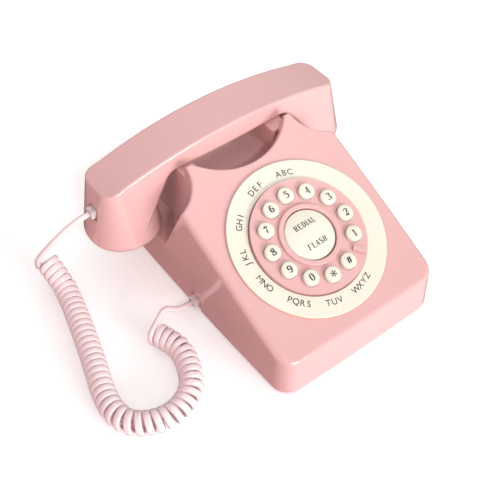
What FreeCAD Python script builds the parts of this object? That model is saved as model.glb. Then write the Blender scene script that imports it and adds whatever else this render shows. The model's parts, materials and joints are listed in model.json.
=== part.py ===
import FreeCAD, Part
import bisect
import math
import os
from types import SimpleNamespace

from FreeCAD import Placement, Rotation, Vector

# A push-button desk telephone in the old dial style, in millimetres.
# +Z is up, the front wall faces -Y, and the origin is under the middle of the base.

# Driving sizes
SIZES = {
    # base housing
    "base_width": 144.0,
    "base_depth": 214.0,
    "front_width": 142.6,
    "rear_width": 136.0,
    "widest_y": -47.0,
    "front_bow": 0.8,
    "corner_radius": 13.0,
    "draft_angle": 1.0,
    "wall": 2.5,
    "block_top": 112.0,
    "face_slope": 25.0,
    "face_front_height": 33.0,
    "face_edge_radius": 4.5,
    "cradle_edge_radius": 1.8,
    "saddle_edge_radius": 1.5,
    "tower_corner_radius": 8.0,
    # cradle
    "scoop_radius": 54.0,
    "scoop_v": 193.0,
    "scoop_floor": 64.0,
    "trough_half": 33.0,
    "trough_floor_radius": 6.0,
    "notch_x": 78.5,
    "notch_v": 161.0,
    "notch_radius": 31.5,
    "plinth_top": 36.0,
    "horn_back_y": 38.0,
    "saddle_gap": 0.3,
    "prong_inner": 36.0,
    "prong_width": 10.5,
    "prong_y": 91.4,
    "prong_depth": 4.4,
    "prong_height": 3.6,
    "prong_round": 1.5,
    "tower_top_y": 96.6,
    "tower_back_slope": 57.0,
    # bottom cover, feet and screws
    "foot_height": 1.5,
    "foot_radius": 7.0,
    "foot_x": 50.0,
    "foot_inset": 25.0,
    "cover_thickness": 2.5,
    "cover_gap": 0.3,
    "boss_radius": 4.0,
    "boss_x": 57.0,
    "boss_inset": 16.0,
    "screw_radius": 1.5,
    "screw_length": 12.0,
    "screw_head_radius": 3.0,
    "screw_head_height": 1.2,
    "screw_gap": 0.3,
    # dial
    "dial_v": 71.6,
    "letter_ring_radius": 60.0,
    "letter_ring_bore": 44.0,
    "letter_ring_height": 2.0,
    "ring_edge_radius": 0.8,
    "key_plate_radius": 43.6,
    "key_plate_height": 5.0,
    "face_hole_radius": 41.0,
    "key_circle": 32.6,
    "key_first_angle": -28.5,
    "key_step": 29.2,
    "key_radius": 6.0,
    "key_gap": 0.3,
    "key_top": 9.0,
    "key_dome_radius": 22.0,
    "key_edge_radius": 1.1,
    "key_flange_radius": 7.0,
    "key_flange_height": 1.5,
    "key_travel": 1.5,
    "bezel_inner": 19.6,
    "bezel_outer": 23.4,
    "bezel_height": 2.4,
    "bezel_edge_radius": 0.8,
    "stop_length": 10.4,
    "stop_width": 4.0,
    "stop_height": 2.2,
    "rocker_radius": 19.0,
    "rocker_bottom": 1.0,
    "rocker_top": 9.0,
    "rocker_dome_radius": 60.0,
    "pivot_height": 3.0,
    "pin_radius": 1.2,
    "pin_clearance": 0.05,
    "pin_length": 44.0,
    "post_circle": 24.6,
    "post_radius": 1.7,
    "post_length": 7.0,
    "mat_radius": 38.4,
    "mat_thickness": 1.5,
    "dome_height": 1.9,
    "dome_radius": 4.0,
    "board_radius": 38.8,
    "board_thickness": 1.6,
    # inside the base
    "main_board_length": 100.0,
    "main_board_width": 86.0,
    "main_board_y": 33.0,
    "main_board_lift": 8.0,
    "board_post_radius": 3.0,
    "board_post_inset": 6.0,
    "small_screw_radius": 1.1,
    "small_screw_length": 6.0,
    "small_screw_head": 2.2,
    "small_screw_head_height": 1.4,
    "ballast_length": 96.0,
    "ballast_width": 52.0,
    "ballast_height": 5.0,
    "ballast_y": -58.0,
    "buzzer_radius": 12.0,
    "buzzer_height": 8.0,
    "buzzer_x": 0.0,
    "buzzer_gap": 2.5,
    # hook
    "hook_x": 39.5,
    "plunger_radius": 3.5,
    "plunger_gap": 0.4,
    "hook_travel": 4.0,
    "yoke_bar_z": 50.0,
    "yoke_bar_height": 6.0,
    "yoke_bar_width": 8.0,
    "hook_switch_length": 16.0,
    "hook_switch_width": 10.0,
    "hook_switch_height": 22.0,
    "spring_radius": 4.0,
    "spring_wire": 1.0,
    "spring_turns": 5.0,
    # sockets, plugs and the ringer switch
    "socket_width": 12.0,
    "socket_height": 11.0,
    "socket_depth": 13.0,
    "socket_gap": 0.0,
    "plug_width": 7.4,
    "plug_height": 6.4,
    "plug_inside": 9.0,
    "plug_outside": 4.5,
    "plug_gap": 0.2,
    "line_bay_width": 9.8,
    "line_bay_height": 6.8,
    "line_bay_depth": 10.0,
    "cord_socket_y": -4.0,
    "line_socket_x": -32.0,
    "line_socket_width": 14.0,
    "ringer_x": 32.0,
    "ringer_slot": 13.0,
    "ringer_slot_height": 5.0,
    "ringer_body_width": 20.0,
    "ringer_body_depth": 8.0,
    "ringer_body_height": 11.0,
    "ringer_knob_width": 5.0,
    "ringer_knob_height": 4.2,
    "ringer_knob_out": 2.0,
    "ringer_travel": 6.0,
    "ringer_gap": 0.4,
    # handset
    "handset_y": 66.0,
    "handset_top": 104.2,
    "arch_radius": 384.0,
    "handset_lean": 2.6,
    "handle_bow": 3.2,
    "handle_bottom": 88.5,
    "handle_flat_half": 53.0,
    "web_radius": 12.0,
    "under_edge": 3.0,
    "cap_x": 86.5,
    "cap_bottom": 40.0,
    "cap_radius": 29.5,
    "cap_top_half": 15.4,
    "cap_top_corner": 5.0,
    "cap_rim_flat": 0.4,
    "cap_rim_round": 5.0,
    "handset_edge": 1.8,
    "handset_wall": 2.5,
    "cover_radius": 23.0,
    "cover_height": 3.4,
    "cover_fit": 0.2,
    "sound_hole_radius": 1.3,
    "sound_hole_circle": 7.0,
    "capsule_radius": 15.0,
    "capsule_height": 12.0,
    "gasket_inner": 11.0,
    "gasket_height": 1.5,
    "microphone_radius": 5.0,
    "microphone_height": 6.0,
    "handset_socket_z": 70.0,
    "weight_length": 70.0,
    "weight_width": 20.0,
    "weight_height": 5.0,
    # cord
    "wire_diameter": 4.4,
    "coil_outer": 17.6,
    "coil_turns": 46.75,
    "coil_start_phase": 90.0,
    "handset_tail_lead": 14.0,
    "handset_tail_drop": 14.0,
    "base_tail_lead": 13.0,
    "least_coil_gap": 0.4,
}

doc = FreeCAD.newDocument("desk_telephone")
sheet = doc.addObject("Spreadsheet::Sheet", "Sizes")
for row, (alias, number) in enumerate(SIZES.items(), start=1):
    sheet.set("A%d" % row, alias)
    sheet.set("B%d" % row, str(number))
    sheet.setAlias("B%d" % row, alias)
doc.recompute()
s = SimpleNamespace(**{alias: float(sheet.get(alias)) for alias in SIZES})

# Places worked out from the driving sizes
FAR = 4 * s.base_depth
FRONT_Y = -s.base_depth / 2
REAR_Y = s.base_depth / 2
SADDLE_Z = s.handle_bottom - s.saddle_gap
COVER_TOP = s.foot_height + s.cover_thickness
FOOT_Y = REAR_Y - s.foot_inset
BOSS_Y = REAR_Y - s.boss_inset
BUZZER_Y = REAR_Y - s.wall - s.buzzer_radius - s.buzzer_gap
BOARD_Z = COVER_TOP + s.main_board_lift
TILT = Rotation(Vector(1, 0, 0), s.face_slope)
FACE = Placement(Vector(0, FRONT_Y, s.face_front_height), TILT)
DIAL = FACE.multiply(Placement(Vector(0, s.dial_v, 0), Rotation()))
MAT_TOP = -s.post_length + s.mat_thickness

nodes = []


def node(item, label):
    """Give a finished piece its name and put it on the list of pieces to write."""
    item.Label = label
    nodes.append(item)
    return item


def made(shape, label, placement=None):
    """A piece whose shape comes straight from a solid."""
    item = doc.addObject("Part::Feature", label)
    item.Shape = shape
    if placement:
        item.Placement = placement
    return node(item, label)


def at(x=0.0, y=0.0, z=0.0):
    return Placement(Vector(x, y, z), Rotation())


def bound(kind, name, placement=None, **expressions):
    """A primitive whose sizes follow the sheet."""
    item = doc.addObject(kind, name)
    for size_name, expression in expressions.items():
        item.setExpression(size_name, expression)
    if placement:
        item.Placement = placement
    return item


def joined(name, pieces):
    item = doc.addObject("Part::MultiFuse", name)
    item.Shapes = pieces
    item.Refine = True
    return item


def cut_by(name, base, tools):
    item = doc.addObject("Part::Cut", name)
    item.Base = base
    item.Tool = tools[0] if len(tools) == 1 else joined(name + "_tools", tools)
    return item


def block(x0, x1, y0, y1, z0, z1):
    return Part.makeBox(x1 - x0, y1 - y0, z1 - z0, Vector(x0, y0, z0))


def above(z):
    return block(-FAR, FAR, -FAR, FAR, z, z + FAR)


def mirrored(shape):
    return shape.mirror(Vector(0, 0, 0), Vector(1, 0, 0))


def upright_edges(shape, span):
    """The edges that climb at least the given height."""
    return [e for e in shape.Edges if abs(e.Vertexes[0].Z - e.Vertexes[-1].Z) > span]


def corners(x, y):
    return [(x, y), (-x, y), (x, -y), (-x, -y)]


# Housing form
def base_outline(z, inset):
    """The plan of the base at a height: four bowed sides that lean in with the draft."""
    lean = inset + (z - s.foot_height) * math.tan(math.radians(s.draft_angle))
    front_half = s.front_width / 2 - lean
    wide_half = s.base_width / 2 - lean
    rear_half = s.rear_width / 2 - lean
    front = FRONT_Y + lean
    rear = REAR_Y - lean
    front_left = Vector(-front_half, front + s.front_bow, z)
    front_right = Vector(front_half, front + s.front_bow, z)
    rear_left = Vector(-rear_half, rear - s.front_bow, z)
    rear_right = Vector(rear_half, rear - s.front_bow, z)
    sides = [
        Part.Arc(front_left, Vector(0, front, z), front_right),
        Part.Arc(front_right, Vector(wide_half, s.widest_y, z), rear_right),
        Part.Arc(rear_right, Vector(0, rear, z), rear_left),
        Part.Arc(rear_left, Vector(-wide_half, s.widest_y, z), front_left),
    ]
    return Part.Wire([side.toShape() for side in sides])


def base_block(inset, bottom, top):
    form = Part.makeLoft([base_outline(bottom, inset), base_outline(top, inset)], True, True)
    return form.makeFillet(s.corner_radius - inset, upright_edges(form, (top - bottom) / 2))


def notch(inset):
    """The pocket for a handset cap: a rounded slot square to the face, down to the plinth."""
    radius = s.notch_radius + inset
    inner = s.notch_x - radius
    half_turn = radius * math.sqrt(0.5)
    low = s.notch_v - radius
    bend = Part.Arc(
        Vector(inner, s.notch_v, 0),
        Vector(s.notch_x - half_turn, s.notch_v - half_turn, 0),
        Vector(s.notch_x, low, 0),
    )
    runs = [
        Part.LineSegment(Vector(s.notch_x, low, 0), Vector(FAR, low, 0)),
        Part.LineSegment(Vector(FAR, low, 0), Vector(FAR, FAR, 0)),
        Part.LineSegment(Vector(FAR, FAR, 0), Vector(inner, FAR, 0)),
        Part.LineSegment(Vector(inner, FAR, 0), Vector(inner, s.notch_v, 0)),
    ]
    outline = Part.Wire([bend.toShape()] + [run.toShape() for run in runs])
    slot = Part.Face(outline).extrude(Vector(0, 0, 2 * FAR))
    slot.translate(Vector(0, 0, -FAR))
    slot.Placement = FACE.multiply(slot.Placement)
    return slot.common(above(s.plinth_top - inset))


def scoop(inset):
    """The round finger scoop in front of the horns, square to the face."""
    drum = Part.makeCylinder(s.scoop_radius + inset, 2 * FAR, Vector(0, s.scoop_v, -FAR))
    drum.Placement = FACE
    front_of_horns = block(-FAR, FAR, -FAR, s.horn_back_y, s.scoop_floor - inset, FAR)
    return drum.common(front_of_horns)


def trough(inset):
    """The finger room under the handle, open at the back."""
    half = s.trough_half + inset
    floor = s.scoop_floor - inset
    room = block(-half, half, s.horn_back_y, FAR, floor, FAR)
    bends = [e for e in room.Edges
             if all(abs(v.Z - floor) < s.wall / 100 for v in e.Vertexes)
             and abs(e.Vertexes[0].X - e.Vertexes[-1].X) < s.wall / 100]
    return room.makeFillet(s.trough_floor_radius + inset, bends)


def back_slope(inset):
    """The slope that takes the top corner off the back of the cradle's tower."""
    wedge = block(-FAR, FAR, 0, FAR, -FAR, FAR)
    lean = Rotation(Vector(1, 0, 0), 90 - s.tower_back_slope)
    wedge.Placement = Placement(Vector(0, s.tower_top_y, SADDLE_Z), lean)
    wedge.translate(lean.multVec(Vector(0, -inset, 0)))
    return wedge


def housing_form(inset, bottom):
    form = base_block(inset, bottom, s.block_top)
    sky = block(-FAR, FAR, -FAR, FAR, -inset, FAR)
    sky.Placement = FACE
    pocket = notch(inset)
    behind = block(-FAR, FAR, s.horn_back_y - inset, FAR, SADDLE_Z - inset, FAR)
    for tool in (sky, pocket, mirrored(pocket), behind, scoop(inset), trough(inset)):
        form = form.cut(tool)
    return form


def face_height(point):
    return FACE.inverse().multVec(point).z


def middle_of(edge):
    return edge.valueAt((edge.FirstParameter + edge.LastParameter) / 2)


def spots_on(edge):
    return [v.Point for v in edge.Vertexes] + [middle_of(edge)]


def face_edges(form):
    return [e for e in form.Edges
            if all(abs(face_height(spot)) < s.wall / 100 for spot in spots_on(e))]


def is_outer(edge):
    """True for an edge of the face that runs along the front or a side wall."""
    place = FACE.inverse().multVec(middle_of(edge))
    return abs(place.x) > s.rear_width / 2 - s.wall or place.y < s.corner_radius


def tower_corners(form):
    """The upright edges at the back of the cradle's tower."""
    inner = s.notch_x - s.notch_radius
    return [e for e in upright_edges(form, s.plinth_top)
            if abs(abs(middle_of(e).x) - inner) < s.wall / 100
            and middle_of(e).y > REAR_Y - s.corner_radius]


def saddle_edges(form):
    """The saddles' edges along the finger room and at the back."""
    outside = s.notch_x - s.notch_radius
    return [e for e in form.Edges
            if all(abs(spot.z - SADDLE_Z) < s.wall / 100 for spot in spots_on(e))
            and middle_of(e).y > s.horn_back_y + s.wall / 10
            and abs(middle_of(e).x) < outside - s.wall / 10]


def softened(form):
    """The outer form with its moulded edges rounded, the widest first."""
    form = form.makeFillet(s.tower_corner_radius, tower_corners(form)).cut(back_slope(0))
    form = form.makeFillet(s.face_edge_radius, [e for e in face_edges(form) if is_outer(e)])
    form = form.makeFillet(s.cradle_edge_radius, [e for e in face_edges(form) if in_cradle(e)])
    return form.makeFillet(s.saddle_edge_radius, saddle_edges(form))


def in_cradle(edge):
    return not is_outer(edge) and middle_of(edge).y > 0


def rear_prong():
    x0 = s.prong_inner
    y0 = s.prong_y
    top = SADDLE_Z + s.prong_height
    prong = block(x0, x0 + s.prong_width, y0, y0 + s.prong_depth, SADDLE_Z - s.wall, top)
    crown = [e for e in prong.Edges if min(v.Z for v in e.Vertexes) > top - s.prong_round]
    return prong.makeFillet(s.prong_round, crown)


def socket_place_left():
    """How far out the left wall stands at the cord socket."""
    z = COVER_TOP + s.socket_height
    wall = base_block(0, s.foot_height, s.block_top)
    probe = Part.makeLine(Vector(-FAR, s.cord_socket_y, z), Vector(0, s.cord_socket_y, z))
    return wall.common(probe).BoundBox.XMin


def rear_wall_at(height):
    lean = (height - s.foot_height) * math.tan(math.radians(s.draft_angle))
    return REAR_Y - lean


SOCKET_TOP = COVER_TOP + s.socket_height
SOCKET_Z = COVER_TOP + s.socket_height / 2
LEFT_FACE = socket_place_left()
REAR_FACE = rear_wall_at(SOCKET_TOP) - s.front_bow


def make_housing():
    outer = softened(housing_form(0, s.foot_height))
    inner = housing_form(s.wall, s.foot_height - s.wall).cut(back_slope(s.wall))
    shell = outer.cut(inner)
    for x, y in corners(s.boss_x, BOSS_Y):
        boss = Part.makeCylinder(s.boss_radius, FAR, Vector(x, y, COVER_TOP))
        pilot = Part.makeCylinder(s.screw_radius, s.screw_length, Vector(x, y, COVER_TOP))
        shell = shell.fuse(boss.common(outer)).cut(pilot)
    prong = rear_prong()
    shell = shell.fuse([prong, mirrored(prong)])
    gap = s.socket_gap
    half = s.socket_width / 2 + gap
    bay_top = SOCKET_TOP + gap
    low = s.foot_height - s.wall
    y = s.cord_socket_y
    cuts = [block(-FAR, LEFT_FACE + s.socket_depth, y - half, y + half, low, bay_top)]
    half = s.line_socket_width / 2 + gap
    x = s.line_socket_x
    cuts.append(block(x - half, x + half, REAR_FACE - s.socket_depth, FAR, low, bay_top))
    half = s.ringer_slot / 2
    z0 = SOCKET_Z - s.ringer_slot_height / 2
    z1 = SOCKET_Z + s.ringer_slot_height / 2
    cuts.append(block(s.ringer_x - half, s.ringer_x + half, REAR_Y - 3 * s.wall, FAR, z0, z1))
    hole = Part.makeCylinder(s.face_hole_radius, 4 * s.wall, Vector(0, 0, -3 * s.wall))
    hole.Placement = DIAL
    cuts.append(hole)
    for side in (-1, 1):
        centre = Vector(side * s.hook_x, s.handset_y, SADDLE_Z - 2 * s.wall)
        cuts.append(Part.makeCylinder(s.plunger_radius + s.plunger_gap, 4 * s.wall, centre))
    shell = shell.cut(cuts)
    return made(shell.removeSplitter(), "upper_housing")


def make_bottom_cover():
    inset = s.wall + s.cover_gap
    low = Part.Face(base_outline(s.foot_height, inset))
    plate = low.extrude(Vector(0, 0, s.cover_thickness))
    plate = plate.makeFillet(s.corner_radius - inset, upright_edges(plate, s.cover_thickness / 2))
    for x, y in corners(s.boss_x, BOSS_Y):
        foot = Vector(x, y, s.foot_height)
        plate = plate.cut(Part.makeCylinder(s.screw_radius + s.screw_gap, s.cover_thickness, foot))
        plate = plate.cut(
            Part.makeCylinder(s.screw_head_radius + s.screw_gap, s.screw_head_height, foot)
        )
    for x, y in board_posts():
        post = Part.makeCylinder(s.board_post_radius, s.main_board_lift, Vector(x, y, COVER_TOP))
        bore = Part.makeCylinder(s.small_screw_radius, s.small_screw_length, Vector(
            x, y, BOARD_Z - s.small_screw_length + s.board_thickness))
        plate = plate.fuse(post).cut(bore)
    return made(plate, "bottom_cover")


def board_posts():
    x = s.main_board_length / 2 - s.board_post_inset
    y = s.main_board_width / 2 - s.board_post_inset
    return [(px, s.main_board_y + py) for px, py in corners(x, y)]


def make_feet():
    feet = [
        bound("Part::Cylinder", "foot", at(x, y), Radius="Sizes.foot_radius",
              Height="Sizes.foot_height")
        for x, y in corners(s.foot_x, FOOT_Y)
    ]
    group = doc.addObject("Part::Compound", "feet")
    group.Links = feet
    return node(group, "rubber_feet")


def screw(radius, length, head_radius, head_height):
    """A screw with its head's outer face at z = 0, pointing up."""
    head = Part.makeCylinder(head_radius, head_height)
    return head.fuse(Part.makeCylinder(radius, length, Vector(0, 0, 0))).removeSplitter()


def screw_group(label, places, pattern):
    copies = []
    for place in places:
        one = pattern.copy()
        one.Placement = place
        copies.append(one)
    return made(Part.makeCompound(copies), label)


def make_base_screws():
    reach = s.cover_thickness + s.screw_length
    pattern = screw(s.screw_radius, reach, s.screw_head_radius, s.screw_head_height)
    places = [at(x, y, s.foot_height) for x, y in corners(s.boss_x, BOSS_Y)]
    return screw_group("base_screws", places, pattern)


# Dial
def on_dial(x=0.0, y=0.0, z=0.0):
    return DIAL.multiply(at(x, y, z))


def key_spot(index, radius=None):
    angle = math.radians(s.key_first_angle + index * s.key_step)
    reach = radius or s.key_circle
    return reach * math.cos(angle), reach * math.sin(angle)


def post_spots():
    return [key_spot(index + 0.5, s.post_circle) for index in (1, 5, 9)]


def make_letter_ring():
    ring = bound("Part::Cylinder", "ring", Radius="Sizes.letter_ring_radius",
                 Height="Sizes.letter_ring_height")
    bore = bound("Part::Cylinder", "ring_bore", Radius="Sizes.letter_ring_bore",
                 Height="Sizes.letter_ring_height")
    band = cut_by("letter_band", ring, [bore])
    rounded = top_rounded("letter_round", band, "Sizes.ring_edge_radius", s.letter_ring_height)
    rounded.Placement = DIAL
    return node(rounded, "letter_ring")


def top_rounded(name, base, radius, height):
    """The piece with every ring edge at the given height rounded."""
    doc.recompute()
    top = [number for number, edge in enumerate(base.Shape.Edges, start=1)
           if edge.Closed and edge.BoundBox.ZMin > height - s.wall / 100]
    item = doc.addObject("Part::Fillet", name)
    item.Base = base
    size = sheet.get(radius.split(".")[1])
    item.Edges = [(number, size, size) for number in top]
    return item


def make_key_plate():
    disc = bound("Part::Cylinder", "plate_disc", Radius="Sizes.key_plate_radius",
                 Height="Sizes.key_plate_height")
    bezel = bound("Part::Cylinder", "plate_bezel", Radius="Sizes.bezel_outer",
                  Height="Sizes.key_plate_height + Sizes.bezel_height")
    stop_x, stop_y = key_spot(-0.63, s.key_circle + s.stop_length / 2)
    turn = Rotation(Vector(0, 0, 1), math.degrees(math.atan2(stop_y, stop_x)))
    stop = bound("Part::Box", "finger_stop", Length="Sizes.stop_length",
                 Width="Sizes.stop_width", Height="Sizes.key_plate_height + Sizes.stop_height")
    corner = turn.multVec(Vector(-s.stop_length / 2, -s.stop_width / 2, 0))
    stop.Placement = Placement(Vector(stop_x, stop_y, 0).add(corner), turn)
    posts = [
        bound("Part::Cylinder", "plate_post", at(x, y, -s.post_length),
              Radius="Sizes.post_radius", Height="Sizes.post_length + Sizes.key_plate_height")
        for x, y in post_spots()
    ]
    body = joined("plate_body", [disc, bezel, stop] + posts)
    holes = [
        bound("Part::Cylinder", "key_hole", at(*key_spot(index)),
              Radius="Sizes.key_radius + Sizes.key_gap", Height="2 * Sizes.key_plate_height")
        for index in range(len(KEY_NAMES))
    ]
    holes.append(bound("Part::Cylinder", "rocker_hole", Radius="Sizes.bezel_inner",
                       Height="2 * Sizes.key_plate_height"))
    pin_way = Placement(Vector(-s.pin_length / 2, 0, s.pivot_height), Rotation(Vector(0, 1, 0), 90))
    holes.append(bound("Part::Cylinder", "pin_hole", pin_way, Radius="Sizes.pin_radius",
                       Height="Sizes.pin_length"))
    for x, y in post_spots():
        holes.append(bound("Part::Cylinder", "post_bore", at(x, y, -s.post_length),
                           Radius="Sizes.small_screw_radius", Height="Sizes.small_screw_length"))
    plate = cut_by("plate_cut", body, holes)
    rounded = top_rounded("plate_round", plate, "Sizes.bezel_edge_radius",
                          s.key_plate_height + s.bezel_height)
    rounded.Placement = DIAL
    return node(rounded, "key_plate")


def domed(radius, bottom, top, dome_radius, edge_radius):
    """A turned button: a cylinder under a shallow dome, with a rounded rim."""
    post = Part.makeCylinder(radius, top - bottom, Vector(0, 0, bottom))
    cap = post.common(Part.makeSphere(dome_radius, Vector(0, 0, top - dome_radius)))
    rim = [e for e in cap.Edges if e.Closed and e.BoundBox.ZMin > bottom + edge_radius]
    return cap.makeFillet(edge_radius, rim)


def make_key(index, label):
    """A domed cap with a flange that keeps it under the plate."""
    flange_z = -s.key_gap - s.key_flange_height
    cap = domed(s.key_radius, flange_z, s.key_top, s.key_dome_radius, s.key_edge_radius)
    flange = Part.makeCylinder(s.key_flange_radius, s.key_flange_height, Vector(0, 0, flange_z))
    return made(cap.fuse(flange).removeSplitter(), label, on_dial(*key_spot(index)))


def make_rocker():
    """The centre button, which tips on a pin."""
    cap = domed(s.rocker_radius, s.rocker_bottom, s.rocker_top, s.rocker_dome_radius,
                s.key_edge_radius)
    way = Placement(Vector(-s.pin_length / 2, 0, s.pivot_height), Rotation(Vector(0, 1, 0), 90))
    bore = Part.makeCylinder(s.pin_radius + s.pin_clearance, s.pin_length)
    bore.Placement = way
    made(cap.cut(bore), "centre_rocker", DIAL)
    pin = bound("Part::Cylinder", "pin", Radius="Sizes.pin_radius", Height="Sizes.pin_length")
    pin.Placement = DIAL.multiply(way)
    return node(pin, "rocker_pin")


def make_keypad_layers():
    """The dome mat and the keypad board behind the key plate, on the plate's posts."""
    sheet_low = -s.post_length
    mat = bound("Part::Cylinder", "mat_sheet", at(0, 0, sheet_low), Radius="Sizes.mat_radius",
                Height="Sizes.mat_thickness")
    spots = [key_spot(index) for index in range(len(KEY_NAMES))]
    spots += [(0, s.rocker_radius / 2), (0, -s.rocker_radius / 2)]
    domes = [
        bound("Part::Cone", "dome", at(x, y, MAT_TOP), Radius1="Sizes.dome_radius",
              Radius2="Sizes.dome_radius / 2", Height="Sizes.dome_height")
        for x, y in spots
    ]
    holes = [
        bound("Part::Cylinder", "mat_hole", at(x, y, sheet_low),
              Radius="Sizes.post_radius + Sizes.key_gap", Height="Sizes.mat_thickness")
        for x, y in post_spots()
    ]
    layer = cut_by("mat", joined("mat_body", [mat] + domes), holes)
    layer.Placement = DIAL
    node(layer, "dome_mat")
    board_low = sheet_low - s.board_thickness
    disc = bound("Part::Cylinder", "board_disc", at(0, 0, board_low), Radius="Sizes.board_radius",
                 Height="Sizes.board_thickness")
    bores = [
        bound("Part::Cylinder", "board_bore", at(x, y, board_low),
              Radius="Sizes.small_screw_radius", Height="Sizes.board_thickness")
        for x, y in post_spots()
    ]
    board = cut_by("board", disc, bores)
    board.Placement = DIAL
    return node(board, "keypad_board")


def make_board_screws():
    """Small screws that hold the keypad board to its posts and the main board to the cover."""
    pattern = screw(s.small_screw_radius, s.small_screw_length, s.small_screw_head,
                    s.small_screw_head_height)
    head = s.small_screw_head_height
    low = -s.post_length - s.board_thickness - head
    places = [on_dial(x, y, low) for x, y in post_spots()]
    over = Rotation(Vector(1, 0, 0), 180)
    top = BOARD_Z + s.board_thickness + head
    places += [Placement(Vector(x, y, top), over) for x, y in board_posts()]
    return screw_group("board_screws", places, pattern)


# Inside the base
def make_inner_pieces():
    board = bound("Part::Box", "main_plate", Length="Sizes.main_board_length",
                  Width="Sizes.main_board_width", Height="Sizes.board_thickness")
    board.Placement = at(-s.main_board_length / 2, s.main_board_y - s.main_board_width / 2, BOARD_Z)
    bores = [
        bound("Part::Cylinder", "main_bore", at(x, y, BOARD_Z), Radius="Sizes.small_screw_radius",
              Height="Sizes.board_thickness")
        for x, y in board_posts()
    ]
    node(cut_by("main_cut", board, bores), "main_board")
    ballast = bound("Part::Box", "ballast", Length="Sizes.ballast_length",
                    Width="Sizes.ballast_width", Height="Sizes.ballast_height")
    ballast.Placement = at(-s.ballast_length / 2, s.ballast_y - s.ballast_width / 2, COVER_TOP)
    node(ballast, "ballast_plate")
    buzzer = bound("Part::Cylinder", "buzzer_can", Radius="Sizes.buzzer_radius",
                   Height="Sizes.buzzer_height")
    mouth = bound("Part::Cylinder", "buzzer_mouth", at(0, 0, s.buzzer_height / 2),
                  Radius="Sizes.buzzer_radius / 4", Height="Sizes.buzzer_height")
    can = cut_by("buzzer", buzzer, [mouth])
    can.Placement = at(s.buzzer_x, BUZZER_Y, COVER_TOP)
    return node(can, "ringer_buzzer")


def make_hook():
    """Two plungers on one bar that rise through the saddles when the handset is lifted."""
    bar = bound("Part::Box", "yoke_bar", Length="2 * (Sizes.hook_x + Sizes.plunger_radius)",
                Width="Sizes.yoke_bar_width", Height="Sizes.yoke_bar_height")
    bar.Placement = at(-s.hook_x - s.plunger_radius, s.handset_y - s.yoke_bar_width / 2, s.yoke_bar_z)
    plungers = []
    for side in (-1, 1):
        plunger = bound(
            "Part::Cylinder", "plunger", at(side * s.hook_x, s.handset_y, s.yoke_bar_z),
            Radius="Sizes.plunger_radius",
            Height="Sizes.handle_bottom - Sizes.saddle_gap - Sizes.yoke_bar_z")
        plungers.append(plunger)
    node(joined("yoke", [bar] + plungers), "hook_yoke")
    base = BOARD_Z + s.board_thickness
    switch = bound("Part::Box", "switch", Length="Sizes.hook_switch_length",
                   Width="Sizes.hook_switch_width", Height="Sizes.hook_switch_height")
    switch.Placement = at(-s.hook_switch_length / 2, s.handset_y - s.hook_switch_width / 2, base)
    node(switch, "hook_switch")
    low = base + s.hook_switch_height
    room = s.yoke_bar_z - low
    height = room - s.spring_wire
    helix = Part.makeHelix(height / s.spring_turns, height, s.spring_radius)
    start = Part.makeCircle(s.spring_wire / 2, Vector(s.spring_radius, 0, 0), Vector(0, 1, 0))
    coil = Part.Wire(helix.Edges).makePipeShell([Part.Wire([start])], True, True)
    return made(coil, "hook_spring", at(0, s.handset_y, low + s.spring_wire / 2))


# Sockets, plugs and the ringer switch
def socket(width, height, depth, bay_width, bay_height, bay_depth):
    """A socket whose mouth is at x = 0 and looks along -X; its foot is at z = 0."""
    body = block(0, depth, -width / 2, width / 2, 0, height)
    low = (height - bay_height) / 2
    half = bay_width / 2
    bay = block(0, bay_depth, -half, half, low, low + bay_height)
    rib = block(0, bay_depth, -half / 2, half / 2, low + bay_height, low + 1.2 * bay_height)
    return body.cut([bay, rib])


def plug(bay_height):
    """A clear cord plug along X, its mouth plane at x = 0, with a spring latch on top."""
    body = block(-s.plug_outside, s.plug_inside, -s.plug_width / 2, s.plug_width / 2,
                 -s.plug_height / 2, s.plug_height / 2)
    body = body.makeChamfer(s.plug_gap, body.Edges)
    quarter = s.plug_width / 4
    top = s.plug_height / 2
    latch_top = bay_height / 2 + s.plug_gap
    latch = block(-s.plug_outside / 2, s.plug_inside - 1, -quarter, quarter, top - s.plug_gap,
                  latch_top)
    return body.fuse(latch).removeSplitter()


def make_sockets():
    bay_width = s.plug_width + 2 * s.plug_gap
    bay_height = s.plug_height + 2 * s.plug_gap
    bay_depth = s.plug_inside + s.plug_gap
    cord_socket = socket(s.socket_width, s.socket_height, s.socket_depth, bay_width, bay_height,
                         bay_depth)
    made(cord_socket, "cord_jack", at(LEFT_FACE, s.cord_socket_y, COVER_TOP))
    made(plug(bay_height), "plug_base", at(LEFT_FACE, s.cord_socket_y, SOCKET_Z))
    line = socket(s.line_socket_width, s.socket_height, s.socket_depth, s.line_bay_width,
                  s.line_bay_height, s.line_bay_depth)
    to_rear = Rotation(Vector(0, 0, 1), -90)
    made(line, "line_jack", Placement(Vector(s.line_socket_x, REAR_FACE, COVER_TOP), to_rear))
    made(cord_socket.copy(), "handset_jack", at(
        HANDSET_END, s.handset_y, s.handset_socket_z - s.socket_height / 2))
    made(plug(bay_height), "plug_handset", at(HANDSET_END, s.handset_y, s.handset_socket_z))


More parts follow.
